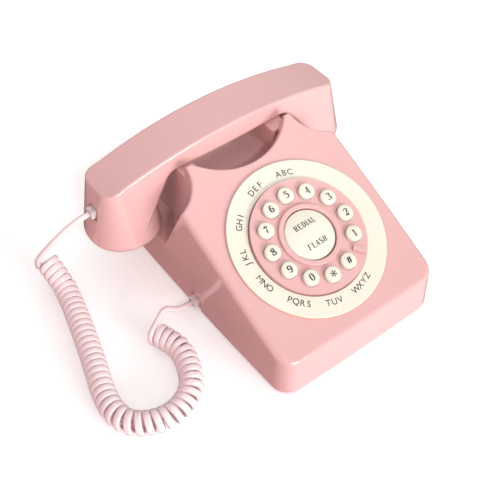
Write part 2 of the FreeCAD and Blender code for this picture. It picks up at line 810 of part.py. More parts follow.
def make_ringer_switch():
    inner = rear_wall_at(s.foot_height) - s.wall - s.front_bow - s.ringer_gap
    body = bound("Part::Box", "ringer_box", Length="Sizes.ringer_body_width",
                 Width="Sizes.ringer_body_depth", Height="Sizes.ringer_body_height")
    body.Placement = at(s.ringer_x - s.ringer_body_width / 2, inner - s.ringer_body_depth, COVER_TOP)
    node(body, "ringer_switch")
    reach = REAR_Y - inner - s.ringer_gap + s.ringer_knob_out - s.front_bow
    knob = doc.addObject("Part::Box", "knob")
    knob.setExpression("Length", "Sizes.ringer_knob_width")
    knob.Width = reach
    knob.setExpression("Height", "Sizes.ringer_knob_height")
    x = s.ringer_x - s.ringer_travel / 2 - s.ringer_knob_width / 2
    knob.Placement = at(x, inner + s.ringer_gap / 2, SOCKET_Z - s.ringer_knob_height / 2)
    return node(knob, "ringer_knob")


# Handset
CAP_FLARE = (s.cap_radius - s.cap_top_half) / (s.handset_top - s.cap_bottom)


def arch_room(inset):
    """Everything under the arched back of the handset."""
    radius = s.arch_radius - inset
    centre_z = s.handset_top - s.arch_radius
    half = 2 * s.cap_x
    shoulder = centre_z + math.sqrt(radius ** 2 - half ** 2)
    y = s.handset_y - FAR / 2
    left = Vector(-half, y, shoulder)
    right = Vector(half, y, shoulder)
    crown = Vector(0, y, s.handset_top - inset)
    back = Part.Arc(left, crown, right).toShape()
    floor = Part.makePolygon([right, Vector(half, y, 0), Vector(-half, y, 0), left])
    return Part.Face(Part.Wire([back] + floor.Edges)).extrude(Vector(0, FAR, 0))


def lean_at(z):
    """How far the handset leans back at a height."""
    return s.handset_lean * (z - s.cap_bottom) / (s.handset_top - s.cap_bottom)


def handle_half(x, z):
    """Half the handle's width: its sides flare downwards and bow out along their length."""
    radius = (s.cap_x ** 2 + s.handle_bow ** 2) / (2 * s.handle_bow)
    bow = s.handle_bow - radius + math.sqrt(radius ** 2 - x ** 2)
    return s.cap_top_half + CAP_FLARE * (s.handset_top - z) + bow


def handle_plan(z, inset):
    """The handle's two bowed sides at a height, closed at the ends."""
    reach = s.cap_x + s.cap_top_half
    middle = s.handset_y + lean_at(z)
    sides = []
    for side in (-1, 1):
        spots = [(-side * reach), 0, side * reach]
        sides.append([Vector(x, middle + side * (handle_half(x, z) - inset), z) for x in spots])
    front, back = sides
    return Part.Wire([
        Part.Arc(*front).toShape(),
        Part.makeLine(front[2], back[0]),
        Part.Arc(*back).toShape(),
        Part.makeLine(back[2], front[0]),
    ])


def flare_room(inset):
    """Everything between the handset's flared and bowed sides."""
    return Part.makeLoft([handle_plan(0, inset), handle_plan(s.handset_top, inset)], True, True)


def handle_form():
    """The handle seen from the front: flat below, then a web that runs down into each cap."""
    half = s.cap_x
    top = s.handset_top + s.handset_wall
    low = s.cap_bottom + s.cap_rim_round
    points = [(-half, top), (half, top), (half, low), (s.handle_flat_half, s.handle_bottom),
              (-s.handle_flat_half, s.handle_bottom), (-half, low)]
    ring = [Vector(x, s.handset_y - FAR / 2, z) for x, z in points]
    bar = Part.Face(Part.makePolygon(ring + ring[:1])).extrude(Vector(0, FAR, 0))
    bends = [e for e in bar.Edges if e.Length > FAR / 2 and spot_on(e, s.handle_bottom)]
    bar = bar.makeFillet(s.web_radius, bends).common(flare_room(0))
    under = [e for e in bar.Edges if is_underside(e)]
    return bar.makeFillet(s.under_edge, under)


def spot_on(edge, z):
    return all(abs(v.Z - z) < s.handset_wall / 100 for v in edge.Vertexes)


def is_underside(edge):
    """True for the long edges between the handle's underside and its flared sides."""
    middle = edge.valueAt((edge.FirstParameter + edge.LastParameter) / 2)
    side = handle_half(middle.x, middle.z)
    on_side = abs(abs(middle.y - s.handset_y - lean_at(middle.z)) - side) < s.handset_wall / 100
    runs_along = abs(edge.Vertexes[0].X - edge.Vertexes[-1].X) > s.handset_wall
    return on_side and runs_along and middle.z < s.handset_top - s.handset_wall


def polar(radius, degrees, z):
    angle = math.radians(degrees)
    return Vector(radius * math.cos(angle), radius * math.sin(angle), z)


def cap_ring(half, corner, z):
    """A rounded square in plan, its flats joined by quarter arcs."""
    flat = half - corner
    bend = flat + corner * math.sqrt(0.5)
    edges = []
    for side in range(4):
        turn = Rotation(Vector(0, 0, 1), 90 * side)
        a = turn.multVec(Vector(half, -flat, z))
        b = turn.multVec(Vector(half, flat, z))
        c = turn.multVec(Vector(bend, bend, z))
        d = turn.multVec(Vector(flat, half, z))
        edges += [Part.makeLine(a, b), Part.Arc(b, c, d).toShape()]
    return Part.Wire(edges)


def cap_form():
    """A hanging cap: a rounded square at the top that opens to a round rim."""
    rim = cap_ring(s.cap_radius, s.cap_radius - s.cap_rim_flat, s.cap_bottom)
    crown = cap_ring(s.cap_top_half, s.cap_top_corner, s.handset_top)
    crown.translate(Vector(0, s.handset_lean, 0))
    return Part.makeLoft([rim, crown], True, True)


def cap_reach(z):
    """Half the cap's width at a height, at the middle of a flat."""
    return s.cap_radius - CAP_FLARE * (z - s.cap_bottom)


HANDSET_END = -s.cap_x - cap_reach(s.handset_socket_z + s.socket_height / 2)
COVER_SEAT = s.cap_bottom + s.cover_height + s.cover_fit
CAP_CENTRES = {"mouth": -s.cap_x, "ear": s.cap_x}


def make_handset_body():
    cap = cap_form()
    rim = [e for e in cap.Edges if max(v.Z for v in e.Vertexes) < s.cap_bottom + s.cap_rim_round]
    cap = cap.makeFillet(s.cap_rim_round, rim)
    outer = handle_form()
    for x in CAP_CENTRES.values():
        one = cap.copy()
        one.translate(Vector(x, s.handset_y, 0))
        outer = outer.fuse(one)
    outer = outer.common(arch_room(0)).removeSplitter()
    crease = [e for e in outer.Edges if on_arch(e)]
    outer = outer.makeFillet(s.handset_edge, crease)
    body = outer.cut(handset_room())
    half = s.socket_width / 2 + s.socket_gap
    z0 = s.handset_socket_z - s.socket_height / 2 - s.socket_gap
    z1 = s.handset_socket_z + s.socket_height / 2 + s.socket_gap
    bay = block(-FAR, HANDSET_END + s.socket_depth, s.handset_y - half, s.handset_y + half, z0, z1)
    cuts = [bay]
    for x in CAP_CENTRES.values():
        for spot in cover_screw_spots():
            base = Vector(x + spot.x, s.handset_y + spot.y, s.cap_bottom)
            cuts.append(Part.makeCylinder(s.small_screw_radius, s.small_screw_length, base))
    return made(body.cut(cuts), "handset_body")


def on_arch(edge):
    """True for an edge that lies on the arched back."""
    middle = edge.valueAt((edge.FirstParameter + edge.LastParameter) / 2)
    spots = [v.Point for v in edge.Vertexes] + [middle]
    centre_z = s.handset_top - s.arch_radius
    return all(abs(math.hypot(p.x, p.z - centre_z) - s.arch_radius) < s.handset_wall / 100
               for p in spots)


def handset_room():
    """The hollow inside: the handle, the two caps, and the mouths for the covers."""
    wall = s.handset_wall
    half = s.cap_x
    low = s.handle_bottom + wall
    handle = block(-half, half, -FAR, FAR, low, FAR).common(flare_room(wall))
    seat_radius = s.cover_radius + s.cover_fit
    room = handle
    for x in CAP_CENTRES.values():
        centre = Vector(x, s.handset_y, COVER_SEAT)
        height = s.handset_top - COVER_SEAT
        seat = s.cover_radius - 2 * s.small_screw_head - s.small_screw_radius
        room = room.fuse(Part.makeCone(seat, s.cap_top_half - wall, height, centre))
        mouth = Vector(x, s.handset_y, s.cap_bottom - wall)
        room = room.fuse(Part.makeCylinder(seat_radius, COVER_SEAT - mouth.z, mouth))
    return room.common(arch_room(wall))


def make_cap_cover(label, x):
    """A round cover with sound holes, screwed up into the mouth of a cap."""
    disc = Part.makeCylinder(s.cover_radius, s.cover_height)
    holes = [Part.makeCylinder(s.sound_hole_radius, s.cover_height)]
    for ring in (1, 2):
        count = 6 * ring
        for index in range(count):
            spot = polar(ring * s.sound_hole_circle, 360 * index / count, 0)
            holes.append(Part.makeCylinder(s.sound_hole_radius, s.cover_height, spot))
    for spot in cover_screw_spots():
        holes.append(Part.makeCylinder(s.small_screw_radius, s.cover_height, spot))
        holes.append(Part.makeCylinder(s.small_screw_head, s.small_screw_head_height, spot))
    disc = disc.cut(holes)
    return made(disc, label, at(x, s.handset_y, s.cap_bottom))


def cover_screw_spots():
    reach = s.cover_radius - s.small_screw_head - s.cover_fit
    return [Vector(0, reach, 0), Vector(0, -reach, 0)]


def make_handset_pieces():
    for name, x in CAP_CENTRES.items():
        make_cap_cover(name + "_cap", x)
    floor = s.cap_bottom + s.cover_height
    ear = at(s.cap_x, s.handset_y, floor)
    gasket = bound("Part::Cylinder", "gasket_disc", Radius="Sizes.capsule_radius",
                   Height="Sizes.gasket_height")
    bore = bound("Part::Cylinder", "gasket_bore", Radius="Sizes.gasket_inner",
                 Height="Sizes.gasket_height")
    seal = cut_by("gasket", gasket, [bore])
    seal.Placement = ear
    node(seal, "receiver_gasket")
    capsule = bound("Part::Cylinder", "capsule", Radius="Sizes.capsule_radius",
                    Height="Sizes.capsule_height")
    capsule.Placement = ear.multiply(at(0, 0, s.gasket_height))
    node(capsule, "receiver_capsule")
    microphone = bound("Part::Cylinder", "mic", Radius="Sizes.microphone_radius",
                       Height="Sizes.microphone_height")
    microphone.Placement = at(-s.cap_x, s.handset_y, floor)
    node(microphone, "microphone")
    weight = bound("Part::Box", "weight", Length="Sizes.weight_length", Width="Sizes.weight_width",
                   Height="Sizes.weight_height")
    low = s.handle_bottom + s.handset_wall
    weight.Placement = at(-s.weight_length / 2, s.handset_y - s.weight_width / 2, low)
    node(weight, "handset_weight")
    pattern = screw(s.small_screw_radius, s.small_screw_length, s.small_screw_head,
                    s.small_screw_head_height)
    places = [at(x + spot.x, s.handset_y + spot.y, s.cap_bottom)
              for x in CAP_CENTRES.values() for spot in cover_screw_spots()]
    return screw_group("handset_screws", places, pattern)


# Cord
COIL_RADIUS = (s.coil_outer - s.wire_diameter) / 2
COIL_FLOOR = s.coil_outer / 2 + s.least_coil_gap
COIL_ROUTE = [
    (-144, 87, 22),
    (-142, 74, 14),
    (-143, 60, COIL_FLOOR),
    (-149, 36, COIL_FLOOR),
    (-160, -2, COIL_FLOOR),
    (-173, -35, COIL_FLOOR),
    (-176, -53, COIL_FLOOR),
    (-161, -67, COIL_FLOOR),
    (-139, -74, COIL_FLOOR),
    (-118, -65, COIL_FLOOR),
    (-107, -40, COIL_FLOOR),
    (-107, -25, COIL_FLOOR),
    (-113, -10, COIL_FLOOR),
]
coil_axis = Part.BSplineCurve()
coil_axis.buildFromPoles([Vector(*pole) for pole in COIL_ROUTE], False, 2)


def coil_progress(samples=600):
    """Distance along the axis against the share of the turns: bends take fewer turns."""
    step = coil_axis.length() / samples
    distance = [0.0]
    share = [0.0]
    for index in range(samples):
        u = coil_axis.parameterAtDistance((index + 0.5) * step, coil_axis.FirstParameter)
        distance.append(distance[-1] + step)
        share.append(share[-1] + step * (1 - COIL_RADIUS * coil_axis.curvature(u)))
    return distance, [value / share[-1] for value in share]


COIL_DISTANCE, COIL_SHARE = coil_progress()


def coil_point(turn):
    """A point on the wire's centre line, counted in turns from the handset's end."""
    share = min(max(turn / s.coil_turns, 0.0), 1.0)
    index = min(bisect.bisect_right(COIL_SHARE, share), len(COIL_SHARE) - 1)
    span = COIL_SHARE[index] - COIL_SHARE[index - 1]
    part = (share - COIL_SHARE[index - 1]) / span
    step = COIL_DISTANCE[index] - COIL_DISTANCE[index - 1]
    reach = COIL_DISTANCE[index - 1] + part * step
    u = coil_axis.parameterAtDistance(reach, coil_axis.FirstParameter)
    heading = coil_axis.tangent(u)[0]
    side = heading.cross(Vector(0, 0, 1)).normalize()
    rise = side.cross(heading)
    phase = math.radians(s.coil_start_phase) + 2 * math.pi * turn
    offset = rise * math.cos(phase) + side * math.sin(phase)
    return coil_axis.value(u) + offset * COIL_RADIUS


def coil_tangent(turn):
    nudge = 1 / 64
    first = max(turn - nudge, 0.0)
    last = min(turn + nudge, s.coil_turns)
    return (coil_point(last) - coil_point(first)).normalize()


def tangent_arc(start, corner, end):
    """An arc that leaves start and reaches end along the lines to the corner."""
    middle = (start + end) * 0.5
    bulge = (corner - middle).normalize()
    half = (end - start).Length / 2
    bend = (corner - start).getAngle(end - start)
    return Part.Arc(start, middle + bulge * (half * math.tan(bend / 2)), end).toShape()


def biarc(p1, t1, p2, t2):
    """Two arcs from p1 to p2 that share a tangent where they meet."""
    v = p2 - p1
    t = t1 + t2
    along = v.dot(t)
    spread = 2 * (1 - t1.dot(t2))
    d = (math.sqrt(along ** 2 + spread * v.dot(v)) - along) / spread
    q1 = p1 + t1 * d
    q2 = p2 - t2 * d
    meet = (q1 + q2) * 0.5
    return [tangent_arc(p1, q1, meet), tangent_arc(meet, q2, p2)]


def tube(edges):
    """A round wire along a chain of lines and arcs."""
    path = Part.Wire(edges)
    first = edges[0]
    start = first.valueAt(first.FirstParameter)
    way = first.tangentAt(first.FirstParameter)
    section = Part.Wire([Part.makeCircle(s.wire_diameter / 2, start, way)])
    solid = path.makePipeShell([section], True, False)
    expected = math.pi * s.wire_diameter ** 2 / 4 * path.Length
    print("tube length %.1f, volume over section x length %.4f" % (
        path.Length, solid.Volume / expected))
    return solid


def coil_gap():
    """The least gap between the wire and itself, on points along its centre line."""
    per_turn = 24
    count = int(s.coil_turns) * per_turn
    points = [coil_point(index / per_turn) for index in range(count + 1)]
    least = FAR
    for index, point in enumerate(points):
        for other in points[index + per_turn // 2:index + 3 * per_turn]:
            least = min(least, (point - other).Length)
    return least - s.wire_diameter


def rounded_run(points):
    """Straight runs with tangent arcs between them, through the given corners."""
    edges = []
    here = points[0]
    for before, corner, after in zip(points, points[1:], points[2:]):
        back = before - corner
        ahead = after - corner
        cut = 0.45 * min(back.Length, ahead.Length)
        start = corner + back.normalize() * cut
        end = corner + ahead.normalize() * cut
        turn = math.pi - back.getAngle(ahead)
        print("tail bend radius %.1f" % (cut / math.tan(turn / 2)))
        edges += [Part.makeLine(here, start), tangent_arc(start, corner, end)]
        here = end
    return edges + [Part.makeLine(here, points[-1])]


def make_cord():
    half_turns = math.ceil(2 * s.coil_turns)
    spots = [s.coil_turns * index / half_turns for index in range(half_turns + 1)]
    places = [(coil_point(turn), coil_tangent(turn)) for turn in spots]
    edges = []
    for (p1, t1), (p2, t2) in zip(places, places[1:]):
        edges += biarc(p1, t1, p2, t2)
    (first, first_way), (last, last_way) = places[0], places[-1]
    coil_start = first - first_way * s.wire_diameter
    coil_end = last + last_way * s.wire_diameter
    edges = [Part.makeLine(coil_start, first)] + edges + [Part.makeLine(last, coil_end)]
    made(tube(edges), "curly_cord")
    gap = coil_gap()
    print("least gap between curls %.2f" % gap)
    if gap < s.least_coil_gap:
        raise RuntimeError("the curls come too near each other")
    out = Vector(-1, 0, 0)
    handset_exit = Vector(HANDSET_END - s.plug_outside, s.handset_y, s.handset_socket_z)
    base_exit = Vector(LEFT_FACE - s.plug_outside, s.cord_socket_y, SOCKET_Z)
    down = [handset_exit, handset_exit + out * s.handset_tail_lead,
            coil_start - first_way * s.handset_tail_drop, coil_start]
    made(tube(rounded_run(down)), "cord_tail_handset")
    across = [coil_end, coil_end + last_way * s.base_tail_lead,
              base_exit + out * s.base_tail_lead, base_exit]
    return made(tube(rounded_run(across)), "cord_tail_base")


KEY_NAMES = ["key_1", "key_2", "key_3", "key_4", "key_5", "key_6", "key_7", "key_8", "key_9",
             "key_0", "key_star", "key_pound"]

make_housing()
make_bottom_cover()
make_feet()
make_base_screws()
make_letter_ring()
make_key_plate()
for number, name in enumerate(KEY_NAMES):
    make_key(number, name)
make_rocker()
make_keypad_layers()
make_board_screws()
make_inner_pieces()
make_hook()
make_sockets()
make_ringer_switch()
make_handset_body()
make_handset_pieces()
make_cord()

doc.recompute()
for item in doc.Objects:
    if "Invalid" in item.State or "Error" in item.State:
        raise RuntimeError("failed: %s %s" % (item.Label, item.State))
for item in nodes:
    if item.Shape.isNull() or not item.Shape.isValid():
        raise RuntimeError("bad shape: " + item.Label)

os.makedirs("parts", exist_ok=True)
for item in nodes:
    item.Shape.exportStep("parts/%s.step" % item.Label)
    print(item.Label, "solids", len(item.Shape.Solids), "volume %.0f" % item.Shape.Volume)
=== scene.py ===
# %% [markdown]
# # A push-button desk telephone, dressed
#
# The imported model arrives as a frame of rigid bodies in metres: a wedge-shaped base, a handset, twelve
# keys, a centre rocker, a hook and a ringer knob. This lesson gives them their finishes, prints the
# lettering, winds the curly cord and lights the set. Nothing rigid is moved, because every piece
# already stands where the construction put it.

import json
import math

import bmesh
import bpy
from mathutils import Matrix, Vector


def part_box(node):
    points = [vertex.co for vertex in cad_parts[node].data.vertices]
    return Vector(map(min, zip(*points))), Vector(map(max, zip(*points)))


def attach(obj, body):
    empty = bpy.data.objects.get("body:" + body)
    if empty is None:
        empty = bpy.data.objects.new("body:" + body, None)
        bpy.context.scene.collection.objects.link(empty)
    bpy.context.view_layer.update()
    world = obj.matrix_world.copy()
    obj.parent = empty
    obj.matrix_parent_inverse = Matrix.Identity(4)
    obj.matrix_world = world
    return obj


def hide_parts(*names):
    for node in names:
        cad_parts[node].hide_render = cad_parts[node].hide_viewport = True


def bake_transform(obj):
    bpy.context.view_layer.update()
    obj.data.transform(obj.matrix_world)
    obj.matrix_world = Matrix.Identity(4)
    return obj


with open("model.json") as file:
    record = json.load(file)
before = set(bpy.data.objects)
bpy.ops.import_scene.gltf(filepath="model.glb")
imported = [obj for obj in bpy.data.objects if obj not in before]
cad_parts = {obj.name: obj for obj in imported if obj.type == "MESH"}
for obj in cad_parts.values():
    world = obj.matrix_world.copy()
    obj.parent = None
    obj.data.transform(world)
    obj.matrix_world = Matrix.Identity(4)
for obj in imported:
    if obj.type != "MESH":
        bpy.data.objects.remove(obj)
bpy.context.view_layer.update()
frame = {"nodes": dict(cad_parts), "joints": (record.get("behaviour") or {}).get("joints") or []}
nodes = frame["nodes"]
joints = {joint["name"]: joint for joint in frame["joints"]}
scene = bpy.context.scene
MM = 0.001

# %% [markdown]
# ## The camera
#
# The view was solved from round things, because a circle seen at an angle is an ellipse whose shape
# tells the angle. That gives a direction, a distance and a field of view. A camera can be aimed with
# a tracking constraint, but writing its three axes into the matrix keeps the small roll exact.

# %% Place the camera
VIEW_AZIMUTH = math.radians(38.42)
VIEW_ELEVATION = math.radians(49.08)
VIEW_ROLL = math.radians(0.457)
VIEW_DISTANCE = 733.1 * MM
VIEW_TARGET = Vector((-21.4, -3.9, 30.0)) * MM
FOCAL_PIXELS = 985.4
FRAME_PIXELS = 500
SENSOR_MM = 36.0

towards_camera = Vector((
    -math.sin(VIEW_AZIMUTH) * math.cos(VIEW_ELEVATION),
    -math.cos(VIEW_AZIMUTH) * math.cos(VIEW_ELEVATION),
    math.sin(VIEW_ELEVATION),
))
level_right = Vector((math.cos(VIEW_AZIMUTH), -math.sin(VIEW_AZIMUTH), 0))
level_up = towards_camera.cross(level_right)
camera_right = level_right * math.cos(VIEW_ROLL) + level_up * math.sin(VIEW_ROLL)
camera_up = level_up * math.cos(VIEW_ROLL) - level_right * math.sin(VIEW_ROLL)
camera_data = bpy.data.cameras.new("product_camera")
camera_data.sensor_width = SENSOR_MM
camera_data.lens = FOCAL_PIXELS / FRAME_PIXELS * SENSOR_MM
camera = bpy.data.objects.new("product_camera", camera_data)
scene.collection.objects.link(camera)
axes = Matrix((camera_right, camera_up, towards_camera)).transposed()
camera.matrix_world = Matrix.Translation(VIEW_TARGET + towards_camera * VIEW_DISTANCE) @ axes.to_4x4()
scene.camera = camera
print("camera lens %.1f mm at" % camera_data.lens, tuple(round(x, 3) for x in camera.location))

# %% [markdown]
# ## The curly cord's route
#
# A handset cord is a straight wire that was wound hot on a rod. Left alone its turns almost touch, and
# where the coil bends the inner sides stay close while the outer sides fan out. The coil's axis is
# drawn first, as a smooth curve from near the handset, along the table and round to the base. A spline
# of order 3 keeps the turn gentle, and reading it back as points gives something to wind around. The
# route's own points are in millimetres.

# %% Draw the coil's axis
COIL_FLOOR = 9.2
COIL_ROUTE = [
    (-144, 87, 22),
    (-142, 74, 14),
    (-143, 60, COIL_FLOOR),
    (-149, 36, COIL_FLOOR),
    (-160, -2, COIL_FLOOR),
    (-172, -37, COIL_FLOOR),
    (-171, -58, COIL_FLOOR),
    (-158, -70, COIL_FLOOR),
    (-139, -74, COIL_FLOOR),
    (-118, -65, COIL_FLOOR),
    (-107, -40, COIL_FLOOR),
    (-107, -25, COIL_FLOOR),
    (-113, -10, COIL_FLOOR),
]
CURVE_ORDER = 3
ROUTE_RESOLUTION = 40


def smooth_curve(name, points, resolution):
    """A NURBS curve with the points, in metres, as its control points."""
    curve = bpy.data.curves.new(name, "CURVE")
    curve.dimensions = "3D"
    spline = curve.splines.new("NURBS")
    spline.points.add(len(points) - 1)
    for spot, point in zip(spline.points, points):
        spot.co = (*point, 1)
    spline.order_u = CURVE_ORDER
    spline.use_endpoint_u = True
    spline.resolution_u = resolution
    return curve


def read_back(curve):
    """The mesh that a curve evaluates to."""
    holder = bpy.data.objects.new(curve.name, curve)
    scene.collection.objects.link(holder)
    bpy.context.view_layer.update()
    evaluated = holder.evaluated_get(bpy.context.evaluated_depsgraph_get())
    mesh = bpy.data.meshes.new_from_object(evaluated)
    bpy.data.objects.remove(holder)
    return mesh


def line_of(curve):
    """The points along a curve."""
    mesh = read_back(curve)
    points = [vertex.co.copy() for vertex in mesh.vertices]
    bpy.data.meshes.remove(mesh)
    return points


def length_of(points):
    """The length of a line through points."""
    return sum((b - a).length for a, b in zip(points, points[1:]))


route_points = [Vector(point) * MM for point in COIL_ROUTE]
axis_points = line_of(smooth_curve("coil_route", route_points, ROUTE_RESOLUTION))
print("coil axis: %d points, %.0f mm" % (len(axis_points), length_of(axis_points) / MM))

# %% [markdown]
# ## Winding the wire
#
# Each step along the axis gets a share of the turns. Inside a bend the turns crowd, so a bend gets
# somewhat fewer of them. Making up for all of the crowding would open wide gaps on the outer side, so
# half of it is made up for. Turning an angle along the axis gives that control, which a ready-made
# helix bent by a curve modifier would not.

# %% Wind the turns
COIL_OUTER = 17.6 * MM
CURL_THICKNESS = 3.6 * MM
COIL_RADIUS = (COIL_OUTER - CURL_THICKNESS) / 2
COIL_TURNS = 46.75
COIL_START_PHASE = math.radians(90)
BEND_THINNING = 0.5
POINTS_PER_TURN = 16
HEADING_REACH = 2


def turn_shares():
    """For each point of the axis, the share of all turns that is wound by there."""
    weights = []
    for index in range(len(axis_points) - 1):
        step = axis_points[index + 1] - axis_points[index]
        before = axis_points[index] - axis_points[max(index - 1, 0)]
        bend = before.angle(step, 0.0) / step.length
        weights.append(step.length * (1 - BEND_THINNING * COIL_RADIUS * min(bend, 1 / COIL_RADIUS)))
    whole = sum(weights)
    shares = [0.0]
    for weight in weights:
        shares.append(shares[-1] + weight / whole)
    return shares


def wound_points():
    """Points on the wire's centre line, from the handset's end of the coil to the base's."""
    shares = turn_shares()
    last = len(axis_points) - 1
    total = int(COIL_TURNS * POINTS_PER_TURN)
    wound = []
    index = 0
    for number in range(total + 1):
        share = number / total
        while index < last - 1 and shares[index + 1] < share:
            index += 1
        part = (share - shares[index]) / (shares[index + 1] - shares[index])
        here = axis_points[index].lerp(axis_points[index + 1], part)
        behind = axis_points[max(index - HEADING_REACH, 0)]
        ahead = axis_points[min(index + 1 + HEADING_REACH, last)]
        heading = (ahead - behind).normalized()
        side = heading.cross(Vector((0, 0, 1))).normalized()
        rise = side.cross(heading)
        phase = COIL_START_PHASE + 2 * math.pi * COIL_TURNS * share
        wound.append(here + (rise * math.cos(phase) + side * math.sin(phase)) * COIL_RADIUS)
    return wound


turns = wound_points()
print("coil: %.2f turns in %d points" % (COIL_TURNS, len(turns)))

# %% [markdown]
# ## From plug to plug
#
# The wire is one piece, so it is one spline: out of the handset's plug, down a short straight tail,
# round every turn, and along a second tail to the base's plug. Each tail meets the coil in the coil's
# own direction, which keeps a kink out of the join.

# %% Lead the wire
WIRE_DIAMETER = 4.4 * MM
HANDSET_PLUG_HEIGHT = 70.0 * MM
BASE_PLUG_HEIGHT = 9.5 * MM
HANDSET_LEAD = 14 * MM
HANDSET_DROP = 14 * MM
BASE_LEAD = 13 * MM
OUTWARD = Vector((-1, 0, 0))
WIRE_RESOLUTION = 3


def plug_exit(node, height):
    """The middle of a plug's outer end, where its wire comes out."""
    low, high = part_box(node)
    return Vector((low.x, (low.y + high.y) / 2, height))


handset_exit = plug_exit("plug_handset", HANDSET_PLUG_HEIGHT)
base_exit = plug_exit("plug_base", BASE_PLUG_HEIGHT)
first_way = (turns[1] - turns[0]).normalized()
last_way = (turns[-1] - turns[-2]).normalized()
coil_start = turns[0] - first_way * WIRE_DIAMETER
coil_end = turns[-1] + last_way * WIRE_DIAMETER
wire_points = [
    handset_exit,
    handset_exit + OUTWARD * HANDSET_LEAD,
    coil_start - first_way * HANDSET_DROP,
    coil_start,
    *turns,
    coil_end,
    coil_end + last_way * BASE_LEAD,
    base_exit + OUTWARD * BASE_LEAD,
    base_exit,
]
wire_line = line_of(smooth_curve("curly_wire", wire_points, WIRE_RESOLUTION))

# %% [markdown]
# ## The wire's skin
#
# Winding squeezes the soft jacket, so each turn is wider along the coil than it is thick, and flat on
# the outside; the straight tails stay round. A bevelled curve has one section all along, so the skin is
# made as rings of points here. A carried frame keeps the rings from twisting, and the wire's own
# bending tells which way is out of the coil.

# %% Skin the wire
TAIL_DIAMETER = 4.2 * MM
CURL_WIDTH = 5.0 * MM
CURL_SQUARENESS = 0.62
RING_POINTS = 16
EASE_POINTS = 60
TAIL_POINTS = 4
LEAST_BEND = 1e-9


def squared(number):
    """Pushes a cosine or sine outwards, which turns an ellipse into a rounded slab."""
    return math.copysign(abs(number) ** CURL_SQUARENESS, number)


def curl_share(index):
    """How much of the coil's flat section the wire has at a point: none in the tails."""
    first = len(wire_line) * TAIL_POINTS / len(wire_points)
    into = min(index - first, len(wire_line) - first - index) / EASE_POINTS
    share = min(max(into, 0.0), 1.0)
    return share * share * (3 - 2 * share)


def skin_rings():
    """Rings of points round the wire's centre line."""
    last = len(wire_line) - 1
    across = Vector((0, 0, 1))
    rings = []
    for index, point in enumerate(wire_line):
        before = wire_line[max(index - 1, 0)]
        after = wire_line[min(index + 1, last)]
        way = (after - before).normalized()
        across = (across - way * across.dot(way)).normalized()
        second = way.cross(across)
        inward = (before - point) + (after - point)
        inward -= way * inward.dot(way)
        outward = -inward.normalized() if inward.length > LEAST_BEND else across
        along = way.cross(outward)
        share = curl_share(index)
        width = TAIL_DIAMETER + (CURL_WIDTH - TAIL_DIAMETER) * share
        thickness = TAIL_DIAMETER + (CURL_THICKNESS - TAIL_DIAMETER) * share
        ring = []
        for number in range(RING_POINTS):
            angle = 2 * math.pi * number / RING_POINTS
            ray = across * math.cos(angle) + second * math.sin(angle)
            out = ray.dot(outward)
            side = ray.dot(along)
            out += (squared(out) - out) * share
            side += (squared(side) - side) * share
            ring.append(point + outward * (out * thickness / 2) + along * (side * width / 2))
        rings.append(ring)
    return rings


def skin_mesh(name, rings):
    """A closed tube through rings of points, with a cap at each end."""
    points = [point for ring in rings for point in ring]
    faces = []
    for row in range(len(rings) - 1):
        start = row * RING_POINTS
        for number in range(RING_POINTS):
            turn = (number + 1) % RING_POINTS
            faces.append((start + number, start + turn, start + RING_POINTS + turn,
                          start + RING_POINTS + number))
    faces.append(tuple(reversed(range(RING_POINTS))))
    faces.append(tuple(range(len(points) - RING_POINTS, len(points))))
    mesh = bpy.data.meshes.new(name)
    mesh.from_pydata(points, [], faces)
    mesh.shade_smooth()
    return mesh


cord = bpy.data.objects.new("curly_wire", skin_mesh("curly_wire", skin_rings()))
scene.collection.objects.link(cord)
print("cord skin:", len(cord.data.polygons), "faces")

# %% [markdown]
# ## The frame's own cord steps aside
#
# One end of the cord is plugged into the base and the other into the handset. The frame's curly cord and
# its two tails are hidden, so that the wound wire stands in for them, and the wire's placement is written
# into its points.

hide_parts("curly_cord", "cord_tail_handset", "cord_tail_base")
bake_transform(cord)
print("cord declared, from", tuple(round(x, 3) for x in handset_exit))

# %% [markdown]
# ## Moulded plastic
#
# The shells are injection-moulded: one colour all through, a soft gloss, and a grain too fine to see
# until light grazes it. A real moulding is never quite even, so the colour and the gloss drift a
# little from place to place. Noise in the object's own metres gives that at any scale that is asked
# for, and a bump node turns the finest noise into grain.

# %% A helper for plastics
CLOUD_SCALE = 28.0
HANDLING_SCALE = 160.0
HANDLING_DETAIL = 4.0
SHELL_GRAIN_SCALE = 2200.0
GRAIN_DEPTH = 0.05 * MM
COAT_ROUGHNESS = 0.12
MIX_COLOUR_A = 6
MIX_COLOUR_B = 7
MIX_COLOUR_RESULT = 2


def noise(tree, place, scale, detail=2.0):
    """A noise texture of that many grains per metre."""
    texture = tree.nodes.new("ShaderNodeTexNoise")
    texture.inputs["Scale"].default_value = scale
    texture.inputs["Detail"].default_value = detail
    tree.links.new(place.outputs["Object"], texture.inputs["Vector"])
    return texture


def shader_of(material):
    """The node that gives a material its surface."""
    return material.node_tree.nodes["Principled BSDF"]


